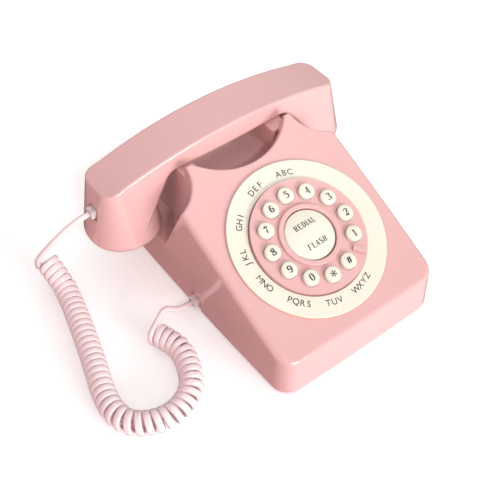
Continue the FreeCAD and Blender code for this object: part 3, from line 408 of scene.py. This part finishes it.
def moulded(name, colour, drift, roughness, grain, coat=0.0, grain_scale=SHELL_GRAIN_SCALE):
    """A plastic whose colour drifts towards another, with an uneven gloss and a fine grain."""
    material = bpy.data.materials.new(name)
    material.use_nodes = True
    tree = material.node_tree
    shader = shader_of(material)
    place = tree.nodes.new("ShaderNodeTexCoord")
    clouds = noise(tree, place, CLOUD_SCALE)
    blend_colour = tree.nodes.new("ShaderNodeMix")
    blend_colour.data_type = "RGBA"
    blend_colour.inputs[MIX_COLOUR_A].default_value = (*colour, 1)
    blend_colour.inputs[MIX_COLOUR_B].default_value = (*drift, 1)
    tree.links.new(clouds.outputs["Fac"], blend_colour.inputs["Factor"])
    tree.links.new(blend_colour.outputs[MIX_COLOUR_RESULT], shader.inputs["Base Color"])
    handling = noise(tree, place, HANDLING_SCALE, HANDLING_DETAIL)
    gloss = tree.nodes.new("ShaderNodeMapRange")
    gloss.inputs["To Min"].default_value = roughness[0]
    gloss.inputs["To Max"].default_value = roughness[1]
    tree.links.new(handling.outputs["Fac"], gloss.inputs["Value"])
    tree.links.new(gloss.outputs["Result"], shader.inputs["Roughness"])
    skin = noise(tree, place, grain_scale)
    bump = tree.nodes.new("ShaderNodeBump")
    bump.inputs["Strength"].default_value = grain
    bump.inputs["Distance"].default_value = GRAIN_DEPTH
    tree.links.new(skin.outputs["Fac"], bump.inputs["Height"])
    tree.links.new(bump.outputs["Normal"], shader.inputs["Normal"])
    shader.inputs["Coat Weight"].default_value = coat
    shader.inputs["Coat Roughness"].default_value = COAT_ROUGHNESS
    return material


def finish(material, *names):
    """Gives nodes of the frame one material in place of what they came with."""
    for name in names:
        slots = nodes[name].data.materials
        slots.clear()
        slots.append(material)


print("plastics: about %.0f colour clouds and %.0f grains to the metre" % (CLOUD_SCALE, SHELL_GRAIN_SCALE))

# %% [markdown]
# ## Pink and ivory shells
#
# The housing, the key plate and the handset are one pink. The ring, the keys and the rocker are ivory.
# Both leave a polished mould, so a thin clear coat over a slightly rough base gives the sharp
# highlight on a soft one that such plastic shows. The hook's plungers share the keys' ivory.

# %% Finish the shells
KEY_NAMES = ["key_" + sign for sign in (*"1234567890", "star", "pound")]

pink = moulded("pink_shell", (0.64, 0.370, 0.360), (0.665, 0.394, 0.384),
               roughness=(0.15, 0.24), grain=0.08, coat=0.4)
ivory = moulded("ivory_button", (0.70, 0.675, 0.565), (0.72, 0.70, 0.60),
                roughness=(0.16, 0.25), grain=0.06, coat=0.4)
finish(pink, "upper_housing", "bottom_cover", "key_plate", "handset_body", "ear_cap", "mouth_cap")
finish(ivory, "letter_ring", "centre_rocker", "hook_yoke", *KEY_NAMES)
print("shells:", pink.name, ivory.name)

# %% [markdown]
# ## The cord, the sockets and the inner plastics
#
# The cord's jacket is paler than the shells, and a heavier coat over a rougher base gives it a wetter
# shine. The line socket, the switches, the buzzer and the receiver are black, the cord's two sockets a
# deeper pink, and the boards green. The feet, the keys' mat and the receiver's gasket are rubber, which
# is rough and has a coarse grain.

# %% Finish the cord and the small plastics
cord_skin = moulded("cord_skin", (0.87, 0.70, 0.71), (0.90, 0.73, 0.74),
                    roughness=(0.24, 0.34), grain=0.08, coat=0.6)
cord.data.materials.append(cord_skin)
black = moulded("black_socket", (0.020, 0.018, 0.018), (0.035, 0.030, 0.030),
                roughness=(0.35, 0.5), grain=0.2)
finish(black, "line_jack", "ringer_switch", "ringer_knob", "ringer_buzzer", "hook_switch",
       "receiver_capsule")
socket_pink = moulded("pink_socket", (0.50, 0.25, 0.24), (0.55, 0.28, 0.27),
                      roughness=(0.3, 0.42), grain=0.15)
finish(socket_pink, "cord_jack", "handset_jack")
rubber = moulded("foot_rubber", (0.05, 0.048, 0.046), (0.08, 0.076, 0.072),
                 roughness=(0.65, 0.85), grain=0.5, grain_scale=1200.0)
finish(rubber, "rubber_feet", "dome_mat", "receiver_gasket")
board = moulded("circuit_board", (0.03, 0.16, 0.07), (0.04, 0.20, 0.09),
                roughness=(0.3, 0.45), grain=0.2)
finish(board, "main_board", "keypad_board")
print("small plastics:", cord_skin.name, black.name, socket_pink.name, rubber.name, board.name)

# %% [markdown]
# ## Metal and clear pieces
#
# Screws, springs, weights and the microphone's can are metal, and show only from below or with the set
# open. The cord's plugs are clear, so they need transmission and a refractive index as well as a tint.

# %% Steel, iron and clear plastic
PLUG_TRANSMISSION = 0.45
PLUG_REFRACTION = 1.49

steel = moulded("plated_steel", (0.55, 0.55, 0.56), (0.62, 0.62, 0.62),
                roughness=(0.22, 0.4), grain=0.15)
iron = moulded("cast_weight", (0.16, 0.16, 0.16), (0.24, 0.23, 0.22),
               roughness=(0.5, 0.7), grain=0.6, grain_scale=900.0)
for metal in (steel, iron):
    shader_of(metal).inputs["Metallic"].default_value = 1.0
clear = moulded("clear_plug", (0.95, 0.82, 0.81), (0.97, 0.86, 0.85),
                roughness=(0.05, 0.14), grain=0.04)
shader_of(clear).inputs["Transmission Weight"].default_value = PLUG_TRANSMISSION
shader_of(clear).inputs["IOR"].default_value = PLUG_REFRACTION
finish(steel, "base_screws", "board_screws", "handset_screws", "hook_spring", "rocker_pin", "microphone")
finish(iron, "ballast_plate", "handset_weight")
finish(clear, "plug_handset", "plug_base")
print("metals and clear pieces:", steel.name, iron.name, clear.name)

# %% [markdown]
# ## Smooth shells
#
# The frame's solids come as triangles. Flat shading would show each one in the gloss, so faces that
# meet at a shallow angle share their normals and true edges stay crisp.

# %% Shade the solids
EDGE_ANGLE = math.radians(28)
for item in nodes.values():
    item.data.shade_smooth()
    item.data.set_sharp_from_angle(angle=EDGE_ANGLE)
print("shaded", len(nodes), "solids")

# %% [markdown]
# ## The dial's own frame
#
# Every print on the dial is laid out flat, as a printer would, and then set on the sloping face. The
# rocker's hinge gives a point on the dial's axis and the keys' travel gives the axis itself.

# %% Find the dial
PIVOT_HEIGHT = 3.0 * MM
dial_axis = -Vector(joints["key_1_press"]["axis"])
dial_right = Vector((1, 0, 0))
dial_up = dial_axis.cross(dial_right)
dial_centre = Vector(joints["rocker_tilt"]["pos_m"]) - dial_axis * PIVOT_HEIGHT
dial = Matrix.Translation(dial_centre) @ Matrix((dial_right, dial_up, dial_axis)).transposed().to_4x4()
print("dial centre", tuple(round(x / MM, 1) for x in dial_centre), "mm")

# %% [markdown]
# ## The ring's edge, in painted shade
#
# The letter ring is a flat ivory disc. Its turned edge is painted a tan shade: the darkening that light
# leaves on such an edge is put into its colour. The edge is part of the same solid, so it is told apart by
# the way its faces look: those that lean well away from the dial's axis take the painted shade.

# %% Paint shade on the ring's edge
SHADED_EDGE_LEAN = 0.55
ring = nodes["letter_ring"]
# Painted shade: a darker tan for the ring's edge faces, standing in for the shade that light leaves there.
painted_edge_shade = moulded("ring_edge_painted_shade", (0.62, 0.42, 0.27), (0.68, 0.48, 0.33),
                   roughness=(0.25, 0.35), grain=0.08)
ring.data.materials.append(painted_edge_shade)
shaded_edge_faces = 0
# Edge faces that lean well away from the dial's axis get the painted shade.
for face in ring.data.polygons:
    if abs((ring.matrix_world.to_3x3() @ face.normal).dot(dial_axis)) < SHADED_EDGE_LEAN:
        face.material_index = 1
        shaded_edge_faces += 1
print("ring edge:", shaded_edge_faces, "of", len(ring.data.polygons), "faces")

# %% [markdown]
# ## Printed ink
#
# Pad-printed ink is a film a few hundredths of a millimetre thick that follows the surface. Each
# legend is made as flat faces, laid on its button's curve, and given that thickness, so that it casts
# no floating shadow and still catches its own edge.

# %% Ink and how it is laid
INK_FILM = 0.06 * MM
ink = moulded("black_ink", (0.022, 0.018, 0.018), (0.035, 0.030, 0.030),
              roughness=(0.4, 0.55), grain=0.1)


def dome_height(top, radius):
    """A function that gives a domed button's height at a place."""
    return lambda x, y: top - radius + math.sqrt(radius ** 2 - x * x - y * y)


def flat_height(height):
    """A function that gives one height everywhere."""
    return lambda x, y: height


def print_on(name, flat, place, height_at, body):
    """Lays a flat bmesh on a surface of the dial and lets it ride on a body."""
    for vertex in flat.verts:
        vertex.co.z = height_at(vertex.co.x, vertex.co.y) - INK_FILM / 2
    bmesh.ops.recalc_face_normals(flat, faces=flat.faces)
    downward = [face for face in flat.faces if face.normal.z < 0]
    bmesh.ops.reverse_faces(flat, faces=downward)
    raised = bmesh.ops.extrude_face_region(flat, geom=flat.faces[:])
    for item in raised["geom"]:
        if isinstance(item, bmesh.types.BMVert):
            item.co.z += INK_FILM
    bmesh.ops.recalc_face_normals(flat, faces=flat.faces)
    mesh = bpy.data.meshes.new(name)
    flat.to_mesh(mesh)
    flat.free()
    mesh.transform(place)
    mesh.materials.append(ink)
    piece = bpy.data.objects.new(name, mesh)
    scene.collection.objects.link(piece)
    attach(piece, body)


print("ink film %.2f mm thick" % (INK_FILM / MM))

# %% [markdown]
# ## Letters round the ring
#
# The ring's letter groups are thin plain capitals. Blender's own font is close, so each letter is
# typed, turned into a mesh and set on the circle, a little bolder than the font has it, apart from the
# M. On the upper left the tops point outwards, and from the lower left on they point inwards, so that
# the groups can be read without turning the head over.

# %% Set the ring's letters
LETTER_RING_HEIGHT = 2.0 * MM
LETTER_CIRCLE = 50.2 * MM
RING_LETTER_SIZE = 6.4 * MM
RING_LETTER_WEIGHT = {"M": 0.0}
USUAL_LETTER_WEIGHT = 0.05 * MM
RING_LETTER_STEP = math.radians(5.4)
RING_LETTERS_OUTWARD = {"ABC": 75, "DEF": 105, "GHI": 138.5, "JKL": 169}
RING_LETTERS_INWARD = {"MNO": 194.5, "PQRS": 226, "TUV": 256, "WXYZ": 286.5}
FONT_RESOLUTION = 6
SAME_POINT = 0.001 * MM


def typed(letter, size):
    """A letter of the built-in font as flat faces, centred on the origin."""
    text = bpy.data.curves.new("letter", "FONT")
    text.body = letter
    text.size = size
    text.offset = RING_LETTER_WEIGHT.get(letter, USUAL_LETTER_WEIGHT)
    text.align_x = "CENTER"
    text.align_y = "CENTER"
    text.resolution_u = FONT_RESOLUTION
    mesh = read_back(text)
    bpy.data.curves.remove(text)
    flat = bmesh.new()
    flat.from_mesh(mesh)
    bpy.data.meshes.remove(mesh)
    bmesh.ops.remove_doubles(flat, verts=flat.verts, dist=SAME_POINT)
    return flat


def ring_group(word, degrees, outward):
    """One group of letters on the ring, as one flat bmesh in the dial's frame."""
    group = bmesh.new()
    middle = (len(word) - 1) / 2
    for number, letter in enumerate(word):
        shift = (number - middle) * RING_LETTER_STEP
        angle = math.radians(degrees) + (-shift if outward else shift)
        spin = angle - math.pi / 2 if outward else angle + math.pi / 2
        flat = typed(letter, RING_LETTER_SIZE)
        spot = Vector((math.cos(angle), math.sin(angle), 0)) * LETTER_CIRCLE
        place = Matrix.Translation(spot) @ Matrix.Rotation(spin, 4, "Z")
        bmesh.ops.transform(flat, matrix=place, verts=flat.verts)
        mesh = bpy.data.meshes.new("letter")
        flat.to_mesh(mesh)
        flat.free()
        group.from_mesh(mesh)
        bpy.data.meshes.remove(mesh)
    return group


for groups, outward in ((RING_LETTERS_OUTWARD, True), (RING_LETTERS_INWARD, False)):
    for word, degrees in groups.items():
        print_on("ring_letters_" + word, ring_group(word, degrees, outward), dial,
                 flat_height(LETTER_RING_HEIGHT), "base")
print("ring letters:", len(RING_LETTERS_OUTWARD) + len(RING_LETTERS_INWARD), "groups")

# %% [markdown]
# ## A broad pen
#
# The keys carry bold numerals with thick and thin strokes and small serifs, which the built-in font
# lacks. A broad-pen letter is a path whose width changes along it, so each glyph is written as a few
# strokes: points in a box one unit high, each with the stroke's half-width there. A smooth curve runs
# through the points, and the ribbon between its two offset sides is the stroke.

# %% The pen
THIN = 0.045
STEM = 0.095
FAT = 0.112
GLYPH_MIDDLE = 0.5
STEPS_PER_SPAN = 7


def between(points, share):
    """A point on a smooth curve through the pen's points, with its half-width."""
    spans = len(points) - 1
    index = min(int(share * spans), spans - 1)
    t = share * spans - index
    p0 = points[max(index - 1, 0)]
    p1 = points[index]
    p2 = points[index + 1]
    p3 = points[min(index + 2, spans)]
    smooth = []
    for a, b, c, d in zip(p0, p1, p2, p3):
        slope = c - a
        curving = 2 * a - 5 * b + 4 * c - d
        easing = 3 * b - a - 3 * c + d
        smooth.append(0.5 * (2 * b + slope * t + curving * t ** 2 + easing * t ** 3))
    return smooth


def pen_stroke(flat, points):
    """Adds one stroke to a bmesh as a ribbon of quads."""
    count = (len(points) - 1) * STEPS_PER_SPAN
    line = [between(points, number / count) for number in range(count + 1)]
    sides = []
    for number, (x, y, half) in enumerate(line):
        ahead = line[min(number + 1, count)]
        behind = line[max(number - 1, 0)]
        way = Vector((ahead[0] - behind[0], ahead[1] - behind[1])).normalized()
        left = flat.verts.new((x - way.y * half, y + way.x * half, 0))
        right = flat.verts.new((x + way.y * half, y - way.x * half, 0))
        sides.append((left, right))
    for (a, b), (c, d) in zip(sides, sides[1:]):
        flat.faces.new((a, b, d, c))


def pen_glyph(strokes, height):
    """A glyph as flat faces, centred on the origin."""
    flat = bmesh.new()
    for stroke in strokes:
        pen_stroke(flat, stroke)
    for vertex in flat.verts:
        vertex.co = Vector((vertex.co.x * height, (vertex.co.y - GLYPH_MIDDLE) * height, 0))
    return flat


print("pen: half-widths", THIN, STEM, FAT, "of the height")

# %% [markdown]
# ## Numerals
#
# Each numeral is one to four strokes, and a stroke has only the points that its bends need. The star is
# six equal arms, so a loop draws it.

# %% Write the numerals
SIGN_BAR = 1.4 * THIN
NUMERALS = {
    "1": [
        [(0.0, 0.02, STEM), (0.0, 0.96, STEM)],
        [(-0.20, 0.78, THIN), (-0.08, 0.86, THIN), (0.02, 0.97, THIN)],
        [(-0.20, 0.03, THIN), (0.20, 0.03, THIN)],
    ],
    "2": [
        [(-0.22, 0.74, FAT), (-0.15, 0.92, THIN), (0.02, 0.97, THIN), (0.20, 0.88, STEM),
         (0.23, 0.70, FAT), (0.12, 0.46, STEM), (-0.08, 0.24, THIN), (-0.25, 0.06, THIN)],
        [(-0.26, 0.07, STEM), (0.02, 0.06, FAT), (0.20, 0.08, STEM), (0.28, 0.22, THIN)],
    ],
    "3": [
        [(-0.22, 0.80, FAT), (-0.12, 0.93, THIN), (0.02, 0.97, THIN), (0.18, 0.88, STEM),
         (0.20, 0.72, FAT), (0.10, 0.57, THIN), (-0.04, 0.53, THIN)],
        [(-0.04, 0.53, THIN), (0.14, 0.49, THIN), (0.24, 0.34, FAT), (0.22, 0.14, STEM),
         (0.02, 0.03, THIN), (-0.14, 0.06, THIN), (-0.24, 0.20, FAT)],
    ],
    "4": [
        [(0.12, 0.02, STEM), (0.12, 0.97, STEM)],
        [(0.10, 0.95, THIN), (-0.28, 0.28, THIN)],
        [(-0.29, 0.28, THIN), (0.29, 0.28, THIN)],
        [(-0.03, 0.03, THIN), (0.27, 0.03, THIN)],
    ],
    "5": [
        [(-0.18, 0.93, THIN), (-0.20, 0.55, THIN)],
        [(-0.19, 0.92, STEM), (0.05, 0.91, STEM), (0.22, 0.95, STEM)],
        [(-0.20, 0.54, THIN), (-0.05, 0.63, THIN), (0.14, 0.58, STEM), (0.24, 0.36, FAT),
         (0.20, 0.13, STEM), (0.02, 0.03, THIN), (-0.14, 0.05, THIN), (-0.24, 0.18, FAT)],
    ],
    "6": [
        [(0.20, 0.86, STEM), (0.08, 0.96, THIN), (-0.08, 0.90, STEM), (-0.22, 0.62, FAT),
         (-0.24, 0.34, FAT), (-0.16, 0.12, STEM), (0.0, 0.03, THIN), (0.17, 0.10, STEM),
         (0.24, 0.30, FAT), (0.17, 0.50, STEM), (0.02, 0.57, THIN), (-0.14, 0.50, THIN),
         (-0.23, 0.36, THIN)],
    ],
    "7": [
        [(-0.26, 0.74, THIN), (-0.22, 0.88, STEM)],
        [(-0.23, 0.90, STEM), (0.0, 0.90, FAT), (0.26, 0.95, THIN)],
        [(0.25, 0.94, THIN), (0.08, 0.62, THIN), (-0.04, 0.36, STEM), (-0.06, 0.06, FAT)],
    ],
    "8": [
        [(0.0, 0.53, STEM), (-0.18, 0.64, FAT), (-0.19, 0.84, STEM), (0.0, 0.97, THIN),
         (0.18, 0.86, STEM), (0.18, 0.68, STEM), (0.0, 0.53, THIN), (-0.20, 0.40, THIN),
         (-0.25, 0.22, STEM), (-0.16, 0.07, STEM), (0.0, 0.03, THIN), (0.20, 0.10, FAT),
         (0.23, 0.30, FAT), (0.10, 0.46, FAT), (0.0, 0.53, STEM)],
    ],
    "9": [
        [(-0.20, 0.14, STEM), (-0.08, 0.04, THIN), (0.08, 0.10, STEM), (0.22, 0.38, FAT),
         (0.24, 0.66, FAT), (0.16, 0.88, STEM), (0.0, 0.97, THIN), (-0.17, 0.90, STEM),
         (-0.24, 0.70, FAT), (-0.17, 0.50, STEM), (-0.02, 0.43, THIN), (0.14, 0.50, THIN),
         (0.23, 0.64, THIN)],
    ],
    "0": [
        [(0.0, 0.97, THIN), (-0.18, 0.84, STEM), (-0.24, 0.50, FAT), (-0.18, 0.16, STEM),
         (0.0, 0.03, THIN), (0.18, 0.16, STEM), (0.24, 0.50, FAT), (0.18, 0.84, STEM),
         (0.0, 0.97, THIN)],
    ],
    "#": [
        [(-0.22, 0.06, STEM), (-0.08, 0.94, STEM)],
        [(0.08, 0.06, STEM), (0.22, 0.94, STEM)],
        [(-0.34, 0.34, SIGN_BAR), (0.30, 0.34, SIGN_BAR)],
        [(-0.30, 0.66, SIGN_BAR), (0.34, 0.66, SIGN_BAR)],
    ],
}
STAR_ARMS = 6
STAR_REACH = 0.46
STAR_SWELL_REACH = 0.6 * STAR_REACH
STAR_ROOT = 0.4 * THIN
STAR_SWELL = 1.7 * THIN
STAR_TIP = 2.2 * THIN


def star_strokes():
    """An asterisk: arms that swell away from the middle."""
    strokes = []
    for arm in range(STAR_ARMS):
        angle = math.pi / 2 + 2 * math.pi * arm / STAR_ARMS
        x, y = math.cos(angle), math.sin(angle)
        strokes.append([
            (0.0, GLYPH_MIDDLE, STAR_ROOT),
            (STAR_SWELL_REACH * x, GLYPH_MIDDLE + STAR_SWELL_REACH * y, STAR_SWELL),
            (STAR_REACH * x, GLYPH_MIDDLE + STAR_REACH * y, STAR_TIP),
        ])
    return strokes


NUMERALS["*"] = star_strokes()
print("numerals and signs:", " ".join(NUMERALS))

# %% [markdown]
# ## Printing the keys
#
# The keys stand on a circle at equal steps, and each top is a shallow dome. A key's numeral is laid on
# its own dome and rides on its own key, so that it goes down with it.

# %% Print the keys
KEY_CIRCLE = 32.6 * MM
KEY_FIRST_ANGLE = math.radians(-28.5)
KEY_STEP = math.radians(29.2)
KEY_TOP = 9.0 * MM
KEY_DOME = 22.0 * MM
NUMERAL_HEIGHT = 5.3 * MM
for number, name in enumerate(KEY_NAMES):
    sign = {"key_star": "*", "key_pound": "#"}.get(name, name[-1])
    angle = KEY_FIRST_ANGLE + number * KEY_STEP
    spot = Vector((math.cos(angle), math.sin(angle), 0)) * KEY_CIRCLE
    place = dial @ Matrix.Translation(spot)
    print_on("numeral_" + name, pen_glyph(NUMERALS[sign], NUMERAL_HEIGHT), place,
             dome_height(KEY_TOP, KEY_DOME), name)
print("numerals:", len(KEY_NAMES))

# %% [markdown]
# ## Words on the rocker
#
# The centre button tips to one side or the other, and says so with two words in narrow bold capitals.
# They are written with the same pen: a thick stem, thin bars and short serifs.

# %% Letter the rocker
CAPITALS = {
    "R": [
        [(-0.18, 0.02, STEM), (-0.18, 0.98, STEM)],
        [(-0.30, 0.03, THIN), (-0.06, 0.03, THIN)],
        [(-0.30, 0.97, THIN), (0.02, 0.96, THIN), (0.17, 0.88, STEM), (0.18, 0.66, STEM),
         (0.04, 0.53, THIN), (-0.12, 0.52, THIN)],
        [(0.0, 0.52, THIN), (0.14, 0.34, STEM), (0.18, 0.10, STEM), (0.30, 0.03, THIN)],
    ],
    "E": [
        [(-0.18, 0.02, STEM), (-0.18, 0.98, STEM)],
        [(-0.30, 0.97, THIN), (0.22, 0.97, THIN), (0.24, 0.76, THIN)],
        [(-0.12, 0.51, THIN), (0.12, 0.51, THIN)],
        [(-0.30, 0.03, THIN), (0.23, 0.03, THIN), (0.26, 0.26, THIN)],
    ],
    "D": [
        [(-0.18, 0.02, STEM), (-0.18, 0.98, STEM)],
        [(-0.30, 0.97, THIN), (0.02, 0.96, THIN), (0.20, 0.80, STEM), (0.25, 0.50, FAT),
         (0.20, 0.20, STEM), (0.02, 0.04, THIN), (-0.30, 0.03, THIN)],
    ],
    "I": [
        [(0.0, 0.02, STEM), (0.0, 0.98, STEM)],
        [(-0.12, 0.97, THIN), (0.12, 0.97, THIN)],
        [(-0.12, 0.03, THIN), (0.12, 0.03, THIN)],
    ],
    "A": [
        [(-0.26, 0.03, THIN), (-0.02, 0.97, THIN)],
        [(0.0, 0.97, STEM), (0.22, 0.03, STEM)],
        [(-0.16, 0.32, THIN), (0.12, 0.32, THIN)],
        [(-0.34, 0.03, THIN), (-0.18, 0.03, THIN)],
        [(0.10, 0.03, THIN), (0.34, 0.03, THIN)],
    ],
    "L": [
        [(-0.16, 0.02, STEM), (-0.16, 0.98, STEM)],
        [(-0.28, 0.97, THIN), (-0.04, 0.97, THIN)],
        [(-0.28, 0.03, THIN), (0.23, 0.03, THIN), (0.26, 0.28, THIN)],
    ],
    "F": [
        [(-0.16, 0.02, STEM), (-0.16, 0.98, STEM)],
        [(-0.28, 0.97, THIN), (0.22, 0.97, THIN), (0.25, 0.74, THIN)],
        [(-0.10, 0.51, THIN), (0.12, 0.51, THIN)],
        [(-0.28, 0.03, THIN), (-0.02, 0.03, THIN)],
    ],
    "S": [
        [(0.22, 0.76, THIN), (0.14, 0.92, THIN), (-0.02, 0.97, THIN), (-0.20, 0.88, STEM),
         (-0.22, 0.68, STEM), (-0.04, 0.54, FAT), (0.16, 0.42, FAT), (0.23, 0.22, STEM),
         (0.12, 0.06, STEM), (-0.04, 0.03, THIN), (-0.18, 0.10, THIN), (-0.25, 0.28, THIN)],
    ],
    "H": [
        [(-0.20, 0.02, STEM), (-0.20, 0.98, STEM)],
        [(0.20, 0.02, STEM), (0.20, 0.98, STEM)],
        [(-0.14, 0.51, THIN), (0.14, 0.51, THIN)],
        [(-0.32, 0.97, THIN), (-0.08, 0.97, THIN)],
        [(-0.32, 0.03, THIN), (-0.08, 0.03, THIN)],
        [(0.08, 0.97, THIN), (0.32, 0.97, THIN)],
        [(0.08, 0.03, THIN), (0.32, 0.03, THIN)],
    ],
}
ROCKER_TOP = 9.0 * MM
ROCKER_DOME = 60.0 * MM
WORD_HEIGHT = 4.2 * MM
LETTER_ADVANCE = 0.80
NARROW_ADVANCE = 0.46
WORDS = {"REDIAL": 8.0 * MM, "FLASH": -8.0 * MM}


def pen_word(word, height, rise):
    """A word in pen capitals, centred on X and raised by rise."""
    flat = bmesh.new()
    advances = [NARROW_ADVANCE if letter == "I" else LETTER_ADVANCE for letter in word]
    reach = -sum(advances) / 2
    for letter, advance in zip(word, advances):
        fresh = []
        for stroke in CAPITALS[letter]:
            before = len(flat.verts)
            pen_stroke(flat, stroke)
            flat.verts.ensure_lookup_table()
            fresh += flat.verts[before:]
        for vertex in fresh:
            x = (vertex.co.x + reach + advance / 2) * height
            vertex.co = Vector((x, (vertex.co.y - GLYPH_MIDDLE) * height + rise, 0))
        reach += advance
    return flat


for word, rise in WORDS.items():
    print_on("rocker_word_" + word.lower(), pen_word(word, WORD_HEIGHT, rise), dial,
             dome_height(ROCKER_TOP, ROCKER_DOME), "centre_rocker")
print("rocker words:", ", ".join(WORDS))

# %% [markdown]
# ## The table
#
# The set stands on a plain white table. A slight glow of its own keeps it white under soft light, and
# keeping it out of reflections leaves the low walls their own colour, where a bright table would veil
# them.

# %% Build the table
TABLE_SIZE = 12.0
TABLE_GLOW = 0.20
half = TABLE_SIZE / 2
table_corners = [(-half, -half, 0), (half, -half, 0), (half, half, 0), (-half, half, 0)]
table_mesh = bpy.data.meshes.new("table")
table_mesh.from_pydata(table_corners, [], [(0, 1, 2, 3)])
table = bpy.data.objects.new("table", table_mesh)
scene.collection.objects.link(table)
table_paint = moulded("table_paint", (0.96, 0.96, 0.96), (0.98, 0.98, 0.98),
                      roughness=(0.75, 0.85), grain=0.02)
table_mesh.materials.append(table_paint)
shader_of(table_paint).inputs["Emission Color"].default_value = (1, 1, 1, 1)
shader_of(table_paint).inputs["Emission Strength"].default_value = TABLE_GLOW
table.visible_glossy = False
print("table %.0f m square" % TABLE_SIZE)

# %% [markdown]
# ## The surround
#
# What glossy plastic shows is mostly its surroundings. Here they are bright overhead and low in front
# on the right, and dark to the left and behind, as in a studio with a white ceiling and a white card.
# A panorama could do that, but two directions are enough: the nearer a ray comes to one of them, the
# more light it meets, and the brighter of the two counts.

# %% Build the surround
SURROUND_COLOUR = (1.0, 0.99, 0.985, 1)
OVERHEAD_WAY = (0.25, 0.0, 0.97)
OVERHEAD_FADE = (0.0, 0.8)
OVERHEAD_STRENGTH = (0.05, 0.93)
FRONT_WAY = (0.45, -0.85, -0.27)
FRONT_FADE = (0.3, 0.9)
FRONT_STRENGTH = (0.0, 1.3)

world = bpy.data.worlds.new("surround")
scene.world = world
world.use_nodes = True
sky = world.node_tree
background = sky.nodes["Background"]
background.inputs["Color"].default_value = SURROUND_COLOUR
direction = sky.nodes.new("ShaderNodeTexCoord")


def glow(way, fade, strength):
    """A strength that grows as a direction in the surround comes nearer to a way."""
    facing = sky.nodes.new("ShaderNodeVectorMath")
    facing.operation = "DOT_PRODUCT"
    facing.inputs[1].default_value = way
    ramp = sky.nodes.new("ShaderNodeMapRange")
    ramp.inputs["From Min"].default_value, ramp.inputs["From Max"].default_value = fade
    ramp.inputs["To Min"].default_value, ramp.inputs["To Max"].default_value = strength
    sky.links.new(direction.outputs["Generated"], facing.inputs[0])
    sky.links.new(facing.outputs["Value"], ramp.inputs["Value"])
    return ramp.outputs["Result"]


brighter = sky.nodes.new("ShaderNodeMath")
brighter.operation = "MAXIMUM"
sky.links.new(glow(OVERHEAD_WAY, OVERHEAD_FADE, OVERHEAD_STRENGTH), brighter.inputs[0])
sky.links.new(glow(FRONT_WAY, FRONT_FADE, FRONT_STRENGTH), brighter.inputs[1])
sky.links.new(brighter.outputs["Value"], background.inputs["Strength"])
print("surround strength up to", OVERHEAD_STRENGTH[1], "overhead and", FRONT_STRENGTH[1], "in front")

# %% [markdown]
# ## The lamps
#
# A broad lamp far in front lights the front wall, the face and the handset's long side, and leaves the
# left wall in shade. A faint rosy fill from the left keeps that wall pink, where white light would turn
# it grey. A soft spot from high in front, left of the middle, brightens the handset and the scoop. The
# standard view transform keeps the white table white.

# %% Hang the lamps
SET_MIDDLE = (0, 0, 0.06)
HANDSET_MIDDLE = (0.03, 0.11, 0.10)


def hang(name, kind, watts, place, aim):
    """A lamp at a place, turned towards an aim."""
    lamp = bpy.data.lights.new(name, kind)
    lamp.energy = watts
    item = bpy.data.objects.new(name, lamp)
    item.location = place
    item.rotation_euler = (Vector(place) - Vector(aim)).to_track_quat("Z", "Y").to_euler()
    scene.collection.objects.link(item)
    return lamp


front_lamp = hang("front_lamp", "AREA", watts=68.0, place=(0.25, -3.0, 0.80), aim=SET_MIDDLE)
front_lamp.shape = "RECTANGLE"
front_lamp.size = 1.6
front_lamp.size_y = 1.0

left_fill = hang("left_fill", "AREA", watts=13.0, place=(-2.2, -0.6, 0.80), aim=SET_MIDDLE)
left_fill.size = 1.2
left_fill.color = (1.0, 0.46, 0.46)

handset_spot = hang("handset_spot", "SPOT", watts=76.0, place=(-0.50, -1.27, 1.50), aim=HANDSET_MIDDLE)
handset_spot.spot_size = math.radians(10.5)
handset_spot.spot_blend = 1.0
handset_spot.shadow_soft_size = 0.12

scene.view_settings.view_transform = "Standard"
